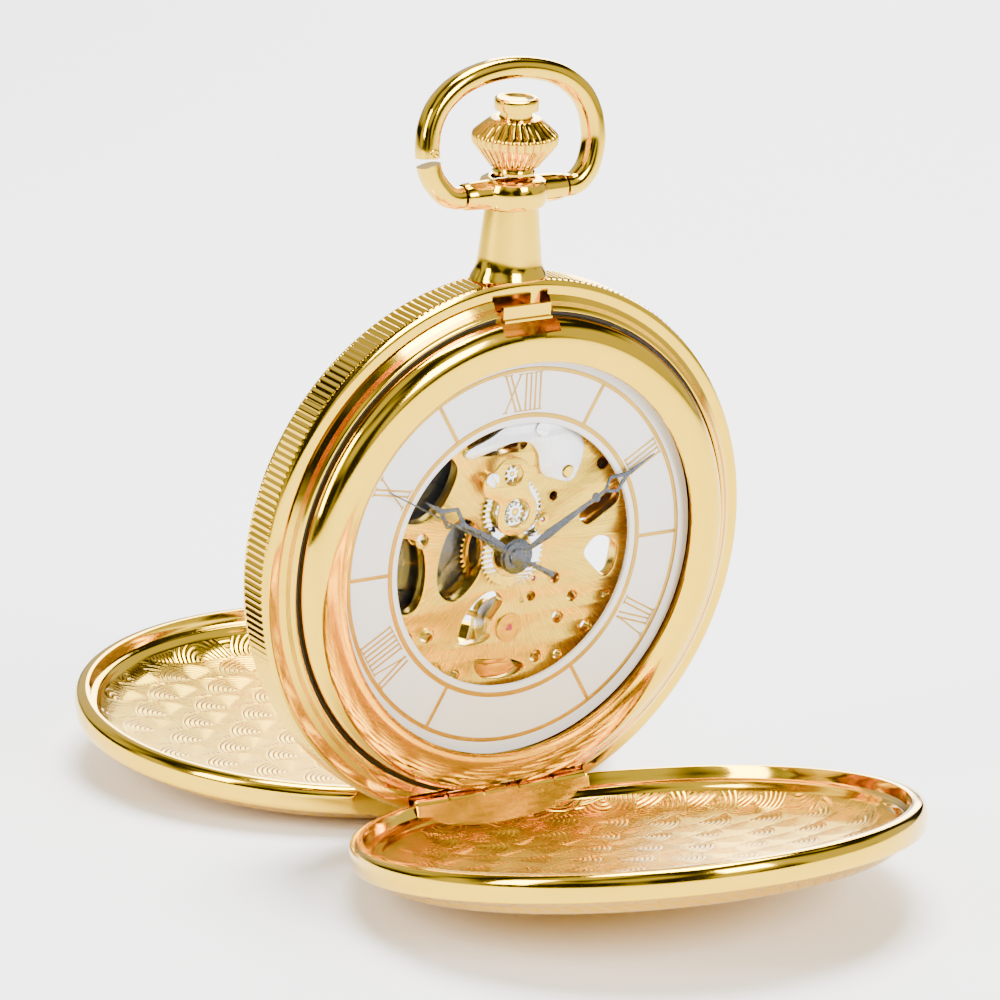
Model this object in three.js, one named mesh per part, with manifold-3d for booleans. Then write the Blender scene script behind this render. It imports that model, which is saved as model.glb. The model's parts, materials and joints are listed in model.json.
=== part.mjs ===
// A hunter pocket watch with both covers open, in millimetres.
// Case frame: X to the right seen from the dial, the dial faces -Y, +Z runs to the crown.
import * as THREE from 'three';
import { mergeVertices } from 'three/addons/utils/BufferGeometryUtils.js';
import Module from 'manifold-3d';

const wasm = await Module();
wasm.setup();

// Stance
const leanDeg = 4.2;
const frontOpenDeg = 77.2;
const backOpenDeg = 89.5;
const bowBackDeg = 8.0;

// Case
const bandRadius = 25.0;
const bandHalf = 2.0;
const bandBore = 22.4;
const bezelRadius = 23.62;
const rimPlane = 2.1;
const coverDepth = 4.95;
const hingeY = 2.35;
const hingeZ = -22.6;
const knuckleRadius = 0.7;
const pinRadius = 0.33;
const chordZ = -22.0;

// Dial side
const dialRadius = 18.55;
const dialBore = 12.2;
const dialFront = -3.2;
const dialBack = -2.8;

// Movement
const plateRadius = 18.4;
const plateFront = -1.9;
const plateBack = -0.7;
const bridgeFront = 1.5;
const bridgeBack = 2.3;
const minuteAt = [0.08, 3.91];
const barrelAt = [-8.9, 2.2];
const thirdAt = [3.6, 2.52];
const escapeAt = [2.9, -2.93];
const balanceAt = [0.5, -7.2];
const ratchetTeeth = 30;
const crownWheelTeeth = 26;

// Pendant, bow and crown
const bowPivotZ = 32.55;
const crownLow = 34.25;

// Facets round the big rings; they all share it so their faces line up.
const roundSteps = 36;

const gold = { color: 0xd9a441, roughness: 0.22, metalness: 1.0 };
const plateGold = { color: 0xe0b45c, roughness: 0.42, metalness: 1.0 };
const silver = { color: 0xd5d7da, roughness: 0.25, metalness: 1.0 };
const dark = { color: 0x3a3d42, roughness: 0.35, metalness: 0.9 };
const white = { color: 0xf2eeea, roughness: 0.5, metalness: 0.0 };
const glass = { color: 0xf4f8fa, roughness: 0.05, metalness: 0.0 };
const ruby = { color: 0xb0383f, roughness: 0.2, metalness: 0.0 };

const group = new THREE.Group();
const watch = new THREE.Group();
watch.rotation.x = THREE.MathUtils.degToRad(leanDeg);
group.add(watch);

function clean(geometry) {
  geometry.deleteAttribute('normal');
  geometry.deleteAttribute('uv');
  return mergeVertices(geometry, 1e-4);
}

function solid(geometry) {
  const merged = clean(geometry);
  const mesh = new wasm.Mesh({
    numProp: 3,
    vertProperties: new Float32Array(merged.attributes.position.array),
    triVerts: new Uint32Array(merged.index.array),
  });
  mesh.merge();
  return new wasm.Manifold(mesh);
}

function toGeometry(manifold) {
  const mesh = manifold.getMesh();
  const geometry = new THREE.BufferGeometry();
  geometry.setAttribute('position', new THREE.BufferAttribute(new Float32Array(mesh.vertProperties), 3));
  geometry.setIndex(new THREE.BufferAttribute(new Uint32Array(mesh.triVerts), 1));
  return geometry;
}

function node(name, manifold, look) {
  const geometry = toGeometry(manifold);
  geometry.computeVertexNormals();
  const mesh = new THREE.Mesh(geometry, new THREE.MeshStandardMaterial(look));
  mesh.name = name;
  watch.add(mesh);
  return mesh;
}

// Round about the case axis: pairs of radius and y, closed on itself or on the axis.
function turned(pairs, steps = roundSteps) {
  const points = pairs.map(([r, y]) => new THREE.Vector2(r, y));
  const onAxis = pairs[0][0] < 1e-9 && pairs[pairs.length - 1][0] < 1e-9;
  if (!onAxis) points.push(points[0].clone());
  const geometry = new THREE.LatheGeometry(points, steps);
  const made = solid(geometry);
  if (made.volume() >= 0) return made;
  return solid(new THREE.LatheGeometry(points.reverse(), steps));
}

function ring(inner, outer, y0, y1, steps = roundSteps) {
  return turned([[inner, y0], [outer, y0], [outer, y1], [inner, y1]], steps);
}

function box(x0, x1, y0, y1, z0, z1) {
  const geometry = new THREE.BoxGeometry(x1 - x0, y1 - y0, z1 - z0);
  geometry.translate((x0 + x1) / 2, (y0 + y1) / 2, (z0 + z1) / 2);
  return solid(geometry);
}

function cylinder(low, high, length, steps) {
  return new THREE.CylinderGeometry(high, low, length, steps);
}

function rodY(radius, y0, y1, x = 0, z = 0, steps = 14) {
  const geometry = cylinder(radius, radius, y1 - y0, steps);
  geometry.translate(x, (y0 + y1) / 2, z);
  return solid(geometry);
}

function rodX(radius, x0, x1, y, z, steps = 12) {
  const geometry = cylinder(radius, radius, x1 - x0, steps);
  geometry.rotateZ(-Math.PI / 2);
  geometry.translate((x0 + x1) / 2, y, z);
  return solid(geometry);
}

function rodZ(radius, z0, z1, steps = 16, x = 0, y = 0) {
  const geometry = cylinder(radius, radius, z1 - z0, steps);
  geometry.rotateX(Math.PI / 2);
  geometry.translate(x, y, (z0 + z1) / 2);
  return solid(geometry);
}

// Round about the crown axis: pairs of radius and z.
function turnedZ(pairs, steps = 20) {
  return turned(pairs, steps).rotate([90, 0, 0]);
}

// A flat piece: outline and holes as x, z pairs, between two y values.
function plate(outline, y0, y1, holes = []) {
  const shape = new THREE.Shape(outline.map(([x, z]) => new THREE.Vector2(x, z)));
  for (const hole of holes) {
    shape.holes.push(new THREE.Path(hole.map(([x, z]) => new THREE.Vector2(x, z))));
  }
  const geometry = new THREE.ExtrudeGeometry(shape, { depth: y1 - y0, bevelEnabled: false, steps: 1 });
  geometry.rotateX(Math.PI / 2);
  geometry.translate(0, y1, 0);
  return solid(geometry);
}

function roundPath(corners, steps = 4) {
  const points = corners.map(([x, z]) => new THREE.Vector3(x, 0, z));
  const curve = new THREE.CatmullRomCurve3(points, true, 'centripetal');
  return curve.getPoints(corners.length * steps).slice(0, -1).map((p) => [p.x, p.z]);
}

function circlePath(radius, x, z, steps = 24) {
  const path = [];
  for (let i = 0; i < steps; i += 1) {
    const turn = (i / steps) * Math.PI * 2;
    path.push([x + radius * Math.cos(turn), z + radius * Math.sin(turn)]);
  }
  return path;
}

function angleTo(from, to) {
  return Math.atan2(to[1] - from[1], to[0] - from[0]);
}

function distance(from, to) {
  return Math.hypot(to[0] - from[0], to[1] - from[1]);
}

// One tooth of the outline is centred on the angle toothAt.
function toothedPath(teeth, module, toothAt, at) {
  const pitch = (teeth * module) / 2;
  const tip = pitch + 0.75 * module;
  const root = pitch - 1.05 * module;
  const step = (Math.PI * 2) / teeth;
  const path = [];
  const blunt = [[root, -0.25], [tip, -0.1], [tip, 0.1], [root, 0.25]];
  const pointed = [[root, -0.5], [tip, 0]];
  for (let i = 0; i < teeth; i += 1) {
    const middle = toothAt + i * step;
    for (const [radius, part] of teeth < 20 ? blunt : pointed) {
      const turn = middle + part * step;
      path.push([at[0] + radius * Math.cos(turn), at[1] + radius * Math.sin(turn)]);
    }
  }
  return path;
}

function toothed(teeth, module, toothAt, at, y0, y1) {
  return plate(toothedPath(teeth, module, toothAt, at), y0, y1);
}

// Arms left between round-cornered windows of a wheel.
function spokeWindows(count, inner, outer, width, at, y0, y1) {
  let windows = null;
  for (let i = 0; i < count; i += 1) {
    const middle = ((i + 0.5) / count) * Math.PI * 2 + 0.3;
    const half = Math.PI / count;
    const path = [];
    const innerGap = half - width / 2 / inner;
    const outerGap = half - width / 2 / outer;
    for (let k = 0; k <= 2; k += 1) {
      const turn = middle - outerGap + outerGap * k;
      path.push([at[0] + outer * Math.cos(turn), at[1] + outer * Math.sin(turn)]);
    }
    for (let k = 1; k >= 0; k -= 1) {
      const turn = middle - innerGap + 2 * innerGap * k;
      path.push([at[0] + inner * Math.cos(turn), at[1] + inner * Math.sin(turn)]);
    }
    const cut = plate(path, y0 - 0.1, y1 + 0.1);
    windows = windows ? windows.add(cut) : cut;
  }
  return windows;
}

// ---- Places worked out from the ones above ----

const settingAt = [-0.43, 7.52];
const minuteScrewAt = [-2.72, 7.35];
const escapeToBalance = angleTo(escapeAt, balanceAt);
const palletAt = [escapeAt[0] + 2.2 * Math.cos(escapeToBalance), escapeAt[1] + 2.2 * Math.sin(escapeToBalance)];
const ratchetModule = 0.26;
const crownWheelAt = (() => {
  const span = ((ratchetTeeth + crownWheelTeeth) / 2) * ratchetModule;
  const turn = THREE.MathUtils.degToRad(57);
  return [barrelAt[0] + span * Math.cos(turn), barrelAt[1] + span * Math.sin(turn)];
})();

// The minute wheel has a tooth or a gap towards the setting wheel; this turns the wheel to suit.
const settingPhase = (() => {
  const toothDir = angleTo(minuteAt, [0, 0]) + Math.PI / 36;
  const facing = angleTo(minuteAt, settingAt);
  const step = (Math.PI * 2) / 36;
  const offset = ((facing - toothDir) / step) % 1;
  return -offset * ((Math.PI * 2) / 8) + Math.PI / 8;
})();

// ---- Case ----

const knuckleCase = [[-9.0, -5.6], [-1.8, 1.8], [5.6, 9.0]];
const knuckleCover = [[-5.5, -1.9], [1.9, 5.5]];

function caseBand() {
  let band = turned([
    [bandBore, -bandHalf], [24.3, -bandHalf], [24.85, -1.8], [bandRadius, -1.5],
    [bandRadius, 1.5], [24.85, 1.8], [24.3, bandHalf], [bandBore, bandHalf],
  ]);
  for (const side of [-1, 1]) {
    const y0 = side < 0 ? -3.5 : 1.55;
    const y1 = side < 0 ? -1.55 : 3.5;
    band = band.subtract(box(-9.3, 9.3, y0, y1, -26, -21.7));
    for (const [x0, x1] of knuckleCase) {
      const web = side < 0 ? box(x0, x1, -2.35, -1.4, -23.1, -22.5) : box(x0, x1, 1.4, 2.35, -23.1, -22.5);
      band = band.add(rodX(knuckleRadius, x0, x1, side * hingeY, hingeZ)).add(web);
    }
    band = band.subtract(rodX(pinRadius + 0.02, -10, 10, side * hingeY, hingeZ, 16));
  }
  band = band.subtract(rodZ(1.42, 20, 26));
  band = band.subtract(box(-2.9, 2.9, -2.5, -1.45, 20.8, 24.0));
  return band;
}

function movementRing() {
  let spacer = ring(18.45, 22.3, -1.95, 1.95);
  spacer = spacer.subtract(rodZ(0.75, 15, 25, 20));
  spacer = spacer.subtract(box(-3.0, 3.0, -2.5, -0.95, 20.6, 24.0));
  spacer = spacer.subtract(box(-1.15, 1.15, -2.5, -1.2, -23, -20.5));
  spacer = spacer.subtract(box(-9.3, 9.3, -3, 3, -26, -21.6));
  return spacer;
}

function frontBezel() {
  let bezel = turned([
    [19.3, -2.05], [bezelRadius, -2.05], [23.6, -2.2], [22.34, -3.05],
    [22.32, -2.5], [22.0, -2.5], [21.95, -3.3], [21.6, -4.0],
    [20.9, -4.5], [20.0, -4.7], [19.1, -4.63], [18.15, -4.45],
    [18.1, -4.33], [18.75, -4.33], [18.75, -2.7], [19.3, -2.7],
  ]);
  bezel = bezel.subtract(box(-2.9, 2.9, -6, -1, 20.75, 24.6));
  bezel = bezel.subtract(box(-9.3, 9.3, -6, -1, -26, -21.3));
  return bezel.subtract(box(-1.15, 1.15, -6, -1, -22, -20.8));
}

function frontCrystal() {
  return turned([
    [0, -4.75], [12, -4.58], [18.05, -4.3], [18.7, -4.3], [18.7, -3.87], [18.0, -3.87], [12, -4.12], [0, -4.3],
  ]);
}

function rearBezel() {
  const made = turned([
    [18.6, 2.05], [bezelRadius, 2.05], [22.3, 2.9], [20.6, 3.7], [18.7, 3.5], [18.7, 3.42], [19.3, 3.42],
    [19.3, 2.95], [18.6, 2.95],
  ]);
  return made.subtract(box(-9.3, 9.3, 1, 6, -26, -21.3));
}

function rearCrystal() {
  return turned([[0, 3.0], [19.25, 3.0], [19.25, 3.38], [18.6, 3.38], [0, 3.5]]);
}

// A cover closed on the front of the case, then turned open about its hinge.
function cover(side) {
  const profile = [
    [0, coverDepth], [5, coverDepth], [11, 4.88], [17, 4.6], [21.8, 3.97], [24.0, 3.0],
    [24.9, 2.2], [25.1, 1.1], [24.75, 0.02], [23.76, 0.05],
    [23.55, 1.1], [22.6, 2.1], [21.0, 3.2], [15, 3.95], [0, 4.3],
  ];
  let shell = turned(profile.map(([r, t]) => [r, -rimPlane - t]));
  shell = shell.subtract(box(-30, 30, -10, 0, -30, chordZ));
  const outer = turned([[0, -2.2], [24.0, -2.2], [24.2, -4.6], [22.5, -5.6], [21.6, -5.97], [0, -5.97]]);
  const leaf = box(-11, 11, -5.85, -2.25, chordZ - 0.02, chordZ + 0.45).intersect(outer);
  shell = shell.add(leaf);
  shell = shell.subtract(rodX(knuckleRadius + 0.12, -9.4, 9.4, -hingeY, hingeZ));
  for (const [x0, x1] of knuckleCover) {
    const web = box(x0, x1, -3.3, -2.5, -22.55, chordZ + 0.2);
    shell = shell.add(rodX(knuckleRadius, x0, x1, -hingeY, hingeZ)).add(web);
  }
  shell = shell.subtract(rodX(pinRadius + 0.05, -10, 10, -hingeY, hingeZ, 16));
  const open = side < 0 ? frontOpenDeg : backOpenDeg;
  let made = shell.translate([0, hingeY, -hingeZ]).rotate([open, 0, 0]).translate([0, -hingeY, hingeZ]);
  if (side > 0) made = made.rotate([0, 0, 180]);
  return made;
}

function hingePin(side) {
  return rodX(pinRadius, -8.9, 8.9, side * hingeY, hingeZ, 16);
}

function liftSpring() {
  const blade = box(-0.95, 0.95, -3.2, -1.3, -21.3, -21.0);
  const foot = box(-0.95, 0.95, -1.6, -1.3, -21.3, -20.6);
  const tip = box(-0.95, 0.95, -3.2, -2.9, -21.48, -21.1);
  return blade.add(foot).add(tip);
}

function latch() {
  const tab = box(-2.45, 2.45, -3.3, -2.85, 21.75, 23.1);
  const stalk = box(-1.9, 1.9, -3.0, -1.15, 21.9, 22.2);
  const corner = box(-2.45, 2.45, -3.6, -3.2, 21.75, 21.95);
  return tab.add(stalk).add(corner);
}

// ---- Pendant, crown and bow ----

function pendantNeck() {
  let neck = turnedZ([
    [0, 24.0], [3.5, 24.0], [3.45, 25.2], [3.15, 25.9], [2.95, 27.0], [2.5, 31.25], [2.0, 31.3],
    [2.0, 33.9], [0, 33.9],
  ]);
  neck = neck.scale([1, 0.82, 1]);
  neck = neck.subtract(rodY(bandRadius + 0.04, -5, 5, 0, 0, roundSteps));
  neck = neck.add(rodZ(1.4, 22.6, 26));
  neck = neck.subtract(rodZ(0.72, 20, 40, 24));
  return neck;
}

function bowCollar() {
  let collar = turnedZ([[0, 31.4], [2.6, 31.4], [3.05, 31.9], [3.1, 33.2], [2.7, 33.85], [0, 33.85]], 24);
  const bar = turned([
    [0, -5.2], [1.05, -5.2], [1.2, -5.0], [1.36, 0], [1.2, 5.0], [1.05, 5.2], [0, 5.2],
  ], 16).rotate([0, 0, 90]).translate([0, 0, bowPivotZ]);
  collar = collar.add(bar);
  const bore = turnedZ([[0, 30], [2.08, 30], [2.08, 35], [0, 35]], 20).scale([1, 0.83, 1]);
  collar = collar.subtract(bore);
  collar = collar.subtract(rodX(0.5, 2.6, 6, 0, bowPivotZ, 20));
  return collar;
}

const bowRight = [[5.5, 32.55], [6.1, 32.6], [6.95, 33.0], [7.9, 34.1], [8.55, 36.3], [8.3, 38.6], [7.1, 40.8], [5.2, 42.3]];
const bowTop = [[2.7, 43.15], [0, 43.4], [-2.7, 43.15], [-5.2, 42.3], [-7.1, 40.8], [-8.3, 38.6], [-8.56, 36.6]];
const gateRun = [[-8.5, 35.6], [-7.9, 34.1], [-6.95, 33.0], [-6.1, 32.6], [-5.5, 32.55]];
const gatePivot = [-8.56, 36.05];

function bar(points, wide, deep, steps) {
  const curve = new THREE.CatmullRomCurve3(points.map(([x, z]) => new THREE.Vector3(x, 0, z)), false, 'centripetal');
  const section = new THREE.Shape();
  const sides = 8;
  for (let i = 0; i < sides; i += 1) {
    const turn = (i / sides) * Math.PI * 2;
    const p = [Math.cos(turn) * wide, Math.sin(turn) * deep];
    if (i === 0) section.moveTo(p[0], p[1]);
    else section.lineTo(p[0], p[1]);
  }
  section.closePath();
  const geometry = new THREE.ExtrudeGeometry(section, { extrudePath: curve, steps, bevelEnabled: false });
  const made = solid(geometry);
  return made;
}

function tiltBow(made) {
  return made.translate([0, 0, -bowPivotZ]).rotate([-bowBackDeg, 0, 0]).translate([0, 0, bowPivotZ]);
}

function bow() {
  let loop = bar([...bowRight, ...bowTop], 1.0, 1.08, 22);
  const pin = rodX(0.46, 2.9, 5.9, 0, bowPivotZ, 20);
  loop = loop.add(pin);
  const eye = rodY(1.15, -0.4, 0.4, gatePivot[0], gatePivot[1], 10);
  loop = loop.add(eye);
  loop = loop.subtract(rodY(1.25, -2, -0.4, gatePivot[0], gatePivot[1], 10));
  loop = loop.subtract(rodY(1.25, 0.4, 2, gatePivot[0], gatePivot[1], 10));
  loop = loop.subtract(rodY(0.4, -3, 3, gatePivot[0], gatePivot[1], 8));
  return tiltBow(loop);
}

function bowGate() {
  let gate = bar(gateRun, 1.0, 1.08, 6);
  gate = gate.subtract(rodY(1.3, -3, 3, gatePivot[0], gatePivot[1], 10));
  for (const side of [-1, 1]) {
    const y0 = side < 0 ? -1.02 : 0.46;
    const y1 = side < 0 ? -0.46 : 1.02;
    const cheek = rodY(1.0, y0, y1, gatePivot[0], gatePivot[1], 10);
    const arm = plate([[-9.45, 36.0], [-9.3, 34.6], [-7.4, 34.2], [-7.7, 36.0]], y0, y1);
    gate = gate.add(cheek).add(arm);
  }
  gate = gate.subtract(rodY(0.4, -3, 3, gatePivot[0], gatePivot[1], 8));
  return tiltBow(gate);
}

function gateRivet() {
  const pin = rodY(0.36, -1.3, 1.3, gatePivot[0], gatePivot[1], 8);
  const head = rodY(0.6, -1.3, -1.06, gatePivot[0], gatePivot[1], 8);
  const tail = rodY(0.6, 1.06, 1.3, gatePivot[0], gatePivot[1], 8);
  return tiltBow(pin.add(head).add(tail));
}

function crownFlutes(count, radius) {
  let flutes = null;
  for (let i = 0; i < count; i += 1) {
    const turn = (i / count) * Math.PI * 2;
    const cut = rodZ(0.26, 35.1, 39.1, 4, Math.cos(turn) * radius, Math.sin(turn) * radius);
    flutes = flutes ? flutes.add(cut) : cut;
  }
  return flutes;
}

function crown() {
  let made = turnedZ([
    [0, crownLow], [1.75, crownLow], [1.85, 34.45], [1.75, 34.85], [2.15, 35.0], [3.75, 36.95], [3.75, 37.85],
    [2.3, 39.15], [2.15, 39.3], [2.0, 39.3], [2.0, 39.15], [0, 39.15],
  ], 28);
  made = made.subtract(crownFlutes(14, 3.86));
  const bore = turnedZ([[0, 34], [0.5, 34], [0.5, 38.1], [1.5, 38.1], [1.5, 40], [0, 40]], 20);
  return made.subtract(bore);
}

function crownButton() {
  return turnedZ([
    [0, 38.8], [1.42, 38.8], [1.42, 39.95], [1.95, 39.95], [1.95, 40.85], [1.8, 41.05], [1.45, 41.05], [0, 40.9],
  ], 20);
}

function windingStem() {
  return rodZ(0.46, 11.9, 37.6).add(rodZ(0.62, 15.6, 16.4));
}

function slidingPinion() {
  let made = rodZ(1.0, 12.4, 13.9).subtract(rodZ(1.4, 13.0, 13.3).subtract(rodZ(0.7, 12.9, 13.4)));
  made = made.subtract(rodZ(0.48, 12, 15, 20));
  return made;
}

// ---- Dial and hands ----

function dial() {
  return ring(dialBore, dialRadius, dialFront, dialBack);
}

function dialFrame() {
  const y0 = dialFront - 0.07;
  const y1 = dialFront - 0.005;
  let frame = ring(12.75, 13.2, y0, y1).add(ring(17.0, 17.42, y0, y1));
  for (const hour of [1, 3, 5, 7, 9, 11]) {
    const strip = box(-0.19, 0.19, y0, y1, 13.0, 17.2).rotate([0, hour * 30, 0]);
    frame = frame.add(strip);
  }
  return frame;
}

function handPiece(points, y0, y1) {
  return plate(points, y0, y1);
}

function mirrored(points) {
  const left = points.map(([x, z]) => [-x, z]).reverse();
  return [...points, ...left];
}

function hourHand() {
  const y0 = -3.52;
  const y1 = -3.38;
  let hand = handPiece(mirrored([[0.32, 0.5], [0.55, 3.0], [0.22, 6.3], [0.2, 6.9]]), y0, y1);
  hand = hand.add(handPiece(mirrored([[0.25, 6.6], [1.15, 8.2], [0.3, 9.6], [0.06, 11.6]]), y0, y1));
  hand = hand.subtract(handPiece(mirrored([[0.02, 7.15], [0.75, 8.22], [0.02, 9.2]]), y0 - 1, y1 + 1));
  hand = hand.add(rodY(1.65, y0, y1, 0, 0, 24)).subtract(rodY(1.17, y0 - 1, y1 + 1, 0, 0, 20));
  return hand.rotate([0, 303, 0]);
}

function minuteHand() {
  const y0 = -3.74;
  const y1 = -3.6;
  let hand = handPiece(mirrored([[0.2, 0.5], [0.46, 3.6], [0.14, 8.9], [0.13, 10.4]]), y0, y1);
  hand = hand.add(handPiece([[-0.48, 9.1], [0, 8.75], [0.48, 9.1], [0.48, 9.35], [0, 9.7], [-0.48, 9.35]], y0, y1));
  hand = hand.add(handPiece(mirrored([[0.2, 10.0], [0.98, 11.3], [0.24, 12.9], [0.05, 16.1]]), y0, y1));
  hand = hand.subtract(handPiece(mirrored([[0.02, 10.5], [0.62, 11.35], [0.02, 12.5]]), y0 - 1, y1 + 1));
  hand = hand.add(rodY(1.45, y0, y1, 0, 0, 24)).subtract(rodY(0.77, y0 - 1, y1 + 1, 0, 0, 20));
  return hand.rotate([0, 61, 0]);
}

function secondHand() {
  const y0 = -3.92;
  const y1 = -3.82;
  let hand = handPiece([[-0.11, -1.2], [0.11, -1.2], [0.07, 16.0], [-0.07, 16.0]], y0, y1);
  hand = hand.add(handPiece([[-0.3, -4.4], [0.3, -4.4], [0.16, -0.4], [-0.16, -0.4]], y0, y1));
  hand = hand.add(rodY(0.82, y0, y1, 0, 0, 20)).subtract(rodY(0.19, y0 - 1, y1 + 1, 0, 0, 14));
  return hand.rotate([0, 299.8, 0]);
}

// ---- Dial side of the movement ----

function dialSpacer() {
  const spacer = ring(14.6, 18.3, -2.75, -1.93);
  return spacer.subtract(box(-2.2, 2.2, -4, -1, 13, 17));
}

const plateWindows = [
  [[-8.3, 9.1], [-6.6, 9.6], [-5.6, 8.3], [-6.3, 6.2], [-7.6, 4.6], [-9.2, 3.9], [-11.0, 4.4], [-10.4, 6.6]],
  [[-12.6, 2.4], [-10.2, 2.5], [-8.9, 1.4], [-8.5, -1.0], [-8.9, -3.4], [-10.0, -4.4], [-11.6, -3.8], [-12.8, -1.0]],
  [[-6.4, 2.2], [-5.0, 3.6], [-3.4, 3.0], [-2.7, 1.5], [-2.5, -0.6], [-3.4, -2.5], [-5.3, -3.9], [-6.9, -3.0], [-7.2, -0.6]],
  [[-1.2, -3.6], [-2.7, -4.1], [-4.3, -5.9], [-4.6, -8.0], [-3.0, -8.3], [-1.5, -7.9], [-1.25, -6.2], [-0.2, -4.6]],
  [[-2.9, -9.9], [-1.0, -10.1], [0.9, -10.3], [2.4, -11.2], [0.6, -11.9], [-2.2, -11.5]],
  [[8.3, -1.2], [9.2, -2.6], [10.6, -3.8], [11.6, -2.8], [11.6, -0.8], [9.7, 0.1]],
  [[7.6, 2.4], [9.6, 3.6], [11.4, 4.6], [11.6, 3.2], [9.8, 2.0], [8.4, 1.4]],
];
const clutchWindow = [[-4.9, 11.0], [-2.6, 12.2], [-1.6, 14.6], [1.6, 14.6], [1.7, 12.0], [1.5, 9.6], [-0.4, 9.2], [-3.4, 9.4]];
const plateHoles = [
  [2.8, -4.6, 0.45], [5.2, -3.2, 0.5], [5.75, -7.0, 0.55], [8.8, -8.3, 0.6], [7.2, -5.2, 0.5], [4.6, 4.6, 0.45],
  [-11.2, -6.2, 0.75], [-8.0, -6.7, 0.7], [-7.2, -10.2, 0.7], [3.6, -10.4, 0.55], [9.8, 7.0, 0.6],
];
const screwSpots = [[-5.5, 16.2], [-15.6, -6.4], [14.5, 8.2], [15.3, -5.6], [6.6, 15.9]];

function mainPlate() {
  const holes = [...plateWindows, clutchWindow].map((path) => roundPath(path, 2));
  for (const [x, z, radius] of plateHoles) holes.push(circlePath(radius, x, z, 8));
  let made = plate(circlePath(plateRadius, 0, 0, roundSteps), plateFront, plateBack, holes);
  made = made.subtract(rodY(0.52, -3, 0, 0, 0, 16));
  for (const at of [thirdAt, escapeAt, palletAt]) made = made.subtract(rodY(0.2, -3, 0, at[0], at[1], 10));
  made = made.subtract(rodY(0.85, -3, 0, balanceAt[0], balanceAt[1], 14));
  made = made.subtract(rodY(0.62, -3, 0, barrelAt[0], barrelAt[1], 8));
  const stud = rodY(0.3, -2.75, -1.8, minuteAt[0], minuteAt[1], 10);
  const wheelStud = rodY(0.2, -2.75, -1.8, settingAt[0], settingAt[1], 10);
  const pin = rodY(0.55, -2.42, -1.8, 5.8, 6.8, 14);
  return made.add(stud).add(wheelStud).add(pin).subtract(rodY(0.32, -2.5, 0, ...minuteScrewAt, 12));
}


function minuteWorkBridge() {
  const y0 = -3.12;
  const y1 = -2.86;
  const outline = roundPath([
    [-1.5, 8.9], [-0.2, 9.1], [1.0, 8.4], [1.15, 6.9], [1.35, 5.9], [2.1, 4.6], [2.05, 3.2], [1.3, 2.2],
    [-0.1, 1.75], [-1.4, 2.3], [-1.95, 3.4], [-1.8, 4.9], [-2.6, 5.5], [-3.4, 6.0], [-3.5, 7.4], [-2.5, 8.0],
  ], 2);
  const holes = [circlePath(0.98, settingAt[0], settingAt[1], 16), circlePath(1.3, minuteAt[0], minuteAt[1], 18)];
  let bridge = plate(outline, y0, y1, holes);
  bridge = bridge.add(rodY(0.62, -3.0, -1.93, ...minuteScrewAt, 16));
  return bridge.subtract(rodY(0.32, -4, -1, ...minuteScrewAt, 10));
}

function slottedScrew(x, z, headRadius, headFront, headBack, shankRadius, shankEnd, slotDeg) {
  const forward = headFront < headBack;
  const y0 = Math.min(headFront, headBack);
  const y1 = Math.max(headFront, headBack);
  let screw = rodY(headRadius, y0, y1, x, z, 10);
  const s0 = forward ? y1 - 0.01 : shankEnd;
  const s1 = forward ? shankEnd : y0 + 0.01;
  screw = screw.add(rodY(shankRadius, s0, s1, x, z, 8));
  const w0 = forward ? y0 - 1 : y1 - 0.1;
  const w1 = forward ? y0 + 0.1 : y1 + 1;
  const slot = box(-headRadius - 1, headRadius + 1, w0, w1, -0.09, 0.09);
  return screw.subtract(slot.rotate([0, slotDeg, 0]).translate([x, 0, z]));
}

function minuteBridgeScrew() {
  return slottedScrew(...minuteScrewAt, 0.68, -3.3, -3.13, 0.28, -1.4, -60);
}

function settingLeverSpring() {
  const outline = roundPath([
    [-4.9, 10.0], [-2.6, 10.9], [-0.6, 11.9], [2.2, 12.3], [5.0, 11.6], [7.2, 9.6], [7.2, 7.6], [6.2, 5.9],
    [4.6, 6.2], [3.0, 7.0], [2.5, 8.9], [1.5, 10.0], [-0.2, 10.2], [-2.6, 9.6], [-4.6, 9.2],
  ], 3);
  let made = plate(outline, -2.3, -1.93);
  made = made.subtract(rodY(0.58, -4, -1, 5.8, 6.8, 14));
  return made.subtract(rodY(0.3, -4, -1, 2.9, 11.2, 10));
}

function settingSpringScrew() {
  return slottedScrew(2.9, 11.2, 0.75, -2.5, -2.31, 0.27, -1.95, 20);
}

function shockSetting() {
  const at = balanceAt;
  let made = ring(0.34, 1.32, -2.12, -1.92, 16).add(ring(0.34, 0.8, -2.0, -0.75, 16));
  made = made.subtract(ring(0.82, 1.06, -2.3, -2.04, 16));
  return made.translate([at[0], 0, at[1]]);
}

function hourWheel() {
  const module = (2 * distance([0, 0], minuteAt)) / 50;
  const facing = angleTo([0, 0], minuteAt);
  let made = toothed(40, module, facing, [0, 0], -2.72, -2.52);
  made = made.add(rodY(1.14, -3.53, -2.5, 0, 0, 20));
  made = made.add(ring(1.0, 2.1, -2.8, -2.5, 18));
  return made.subtract(rodY(0.8, -4, -2, 0, 0, 20));
}

function cannonPinion() {
  const module = (2 * distance([0, 0], minuteAt)) / 48;
  const facing = angleTo([0, 0], minuteAt);
  let made = toothed(12, module, facing, [0, 0], -2.3, -2.02);
  made = made.add(rodY(0.74, -3.76, -2.02, 0, 0, 20));
  return made.subtract(rodY(0.42, -4, -1, 0, 0, 16));
}

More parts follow.
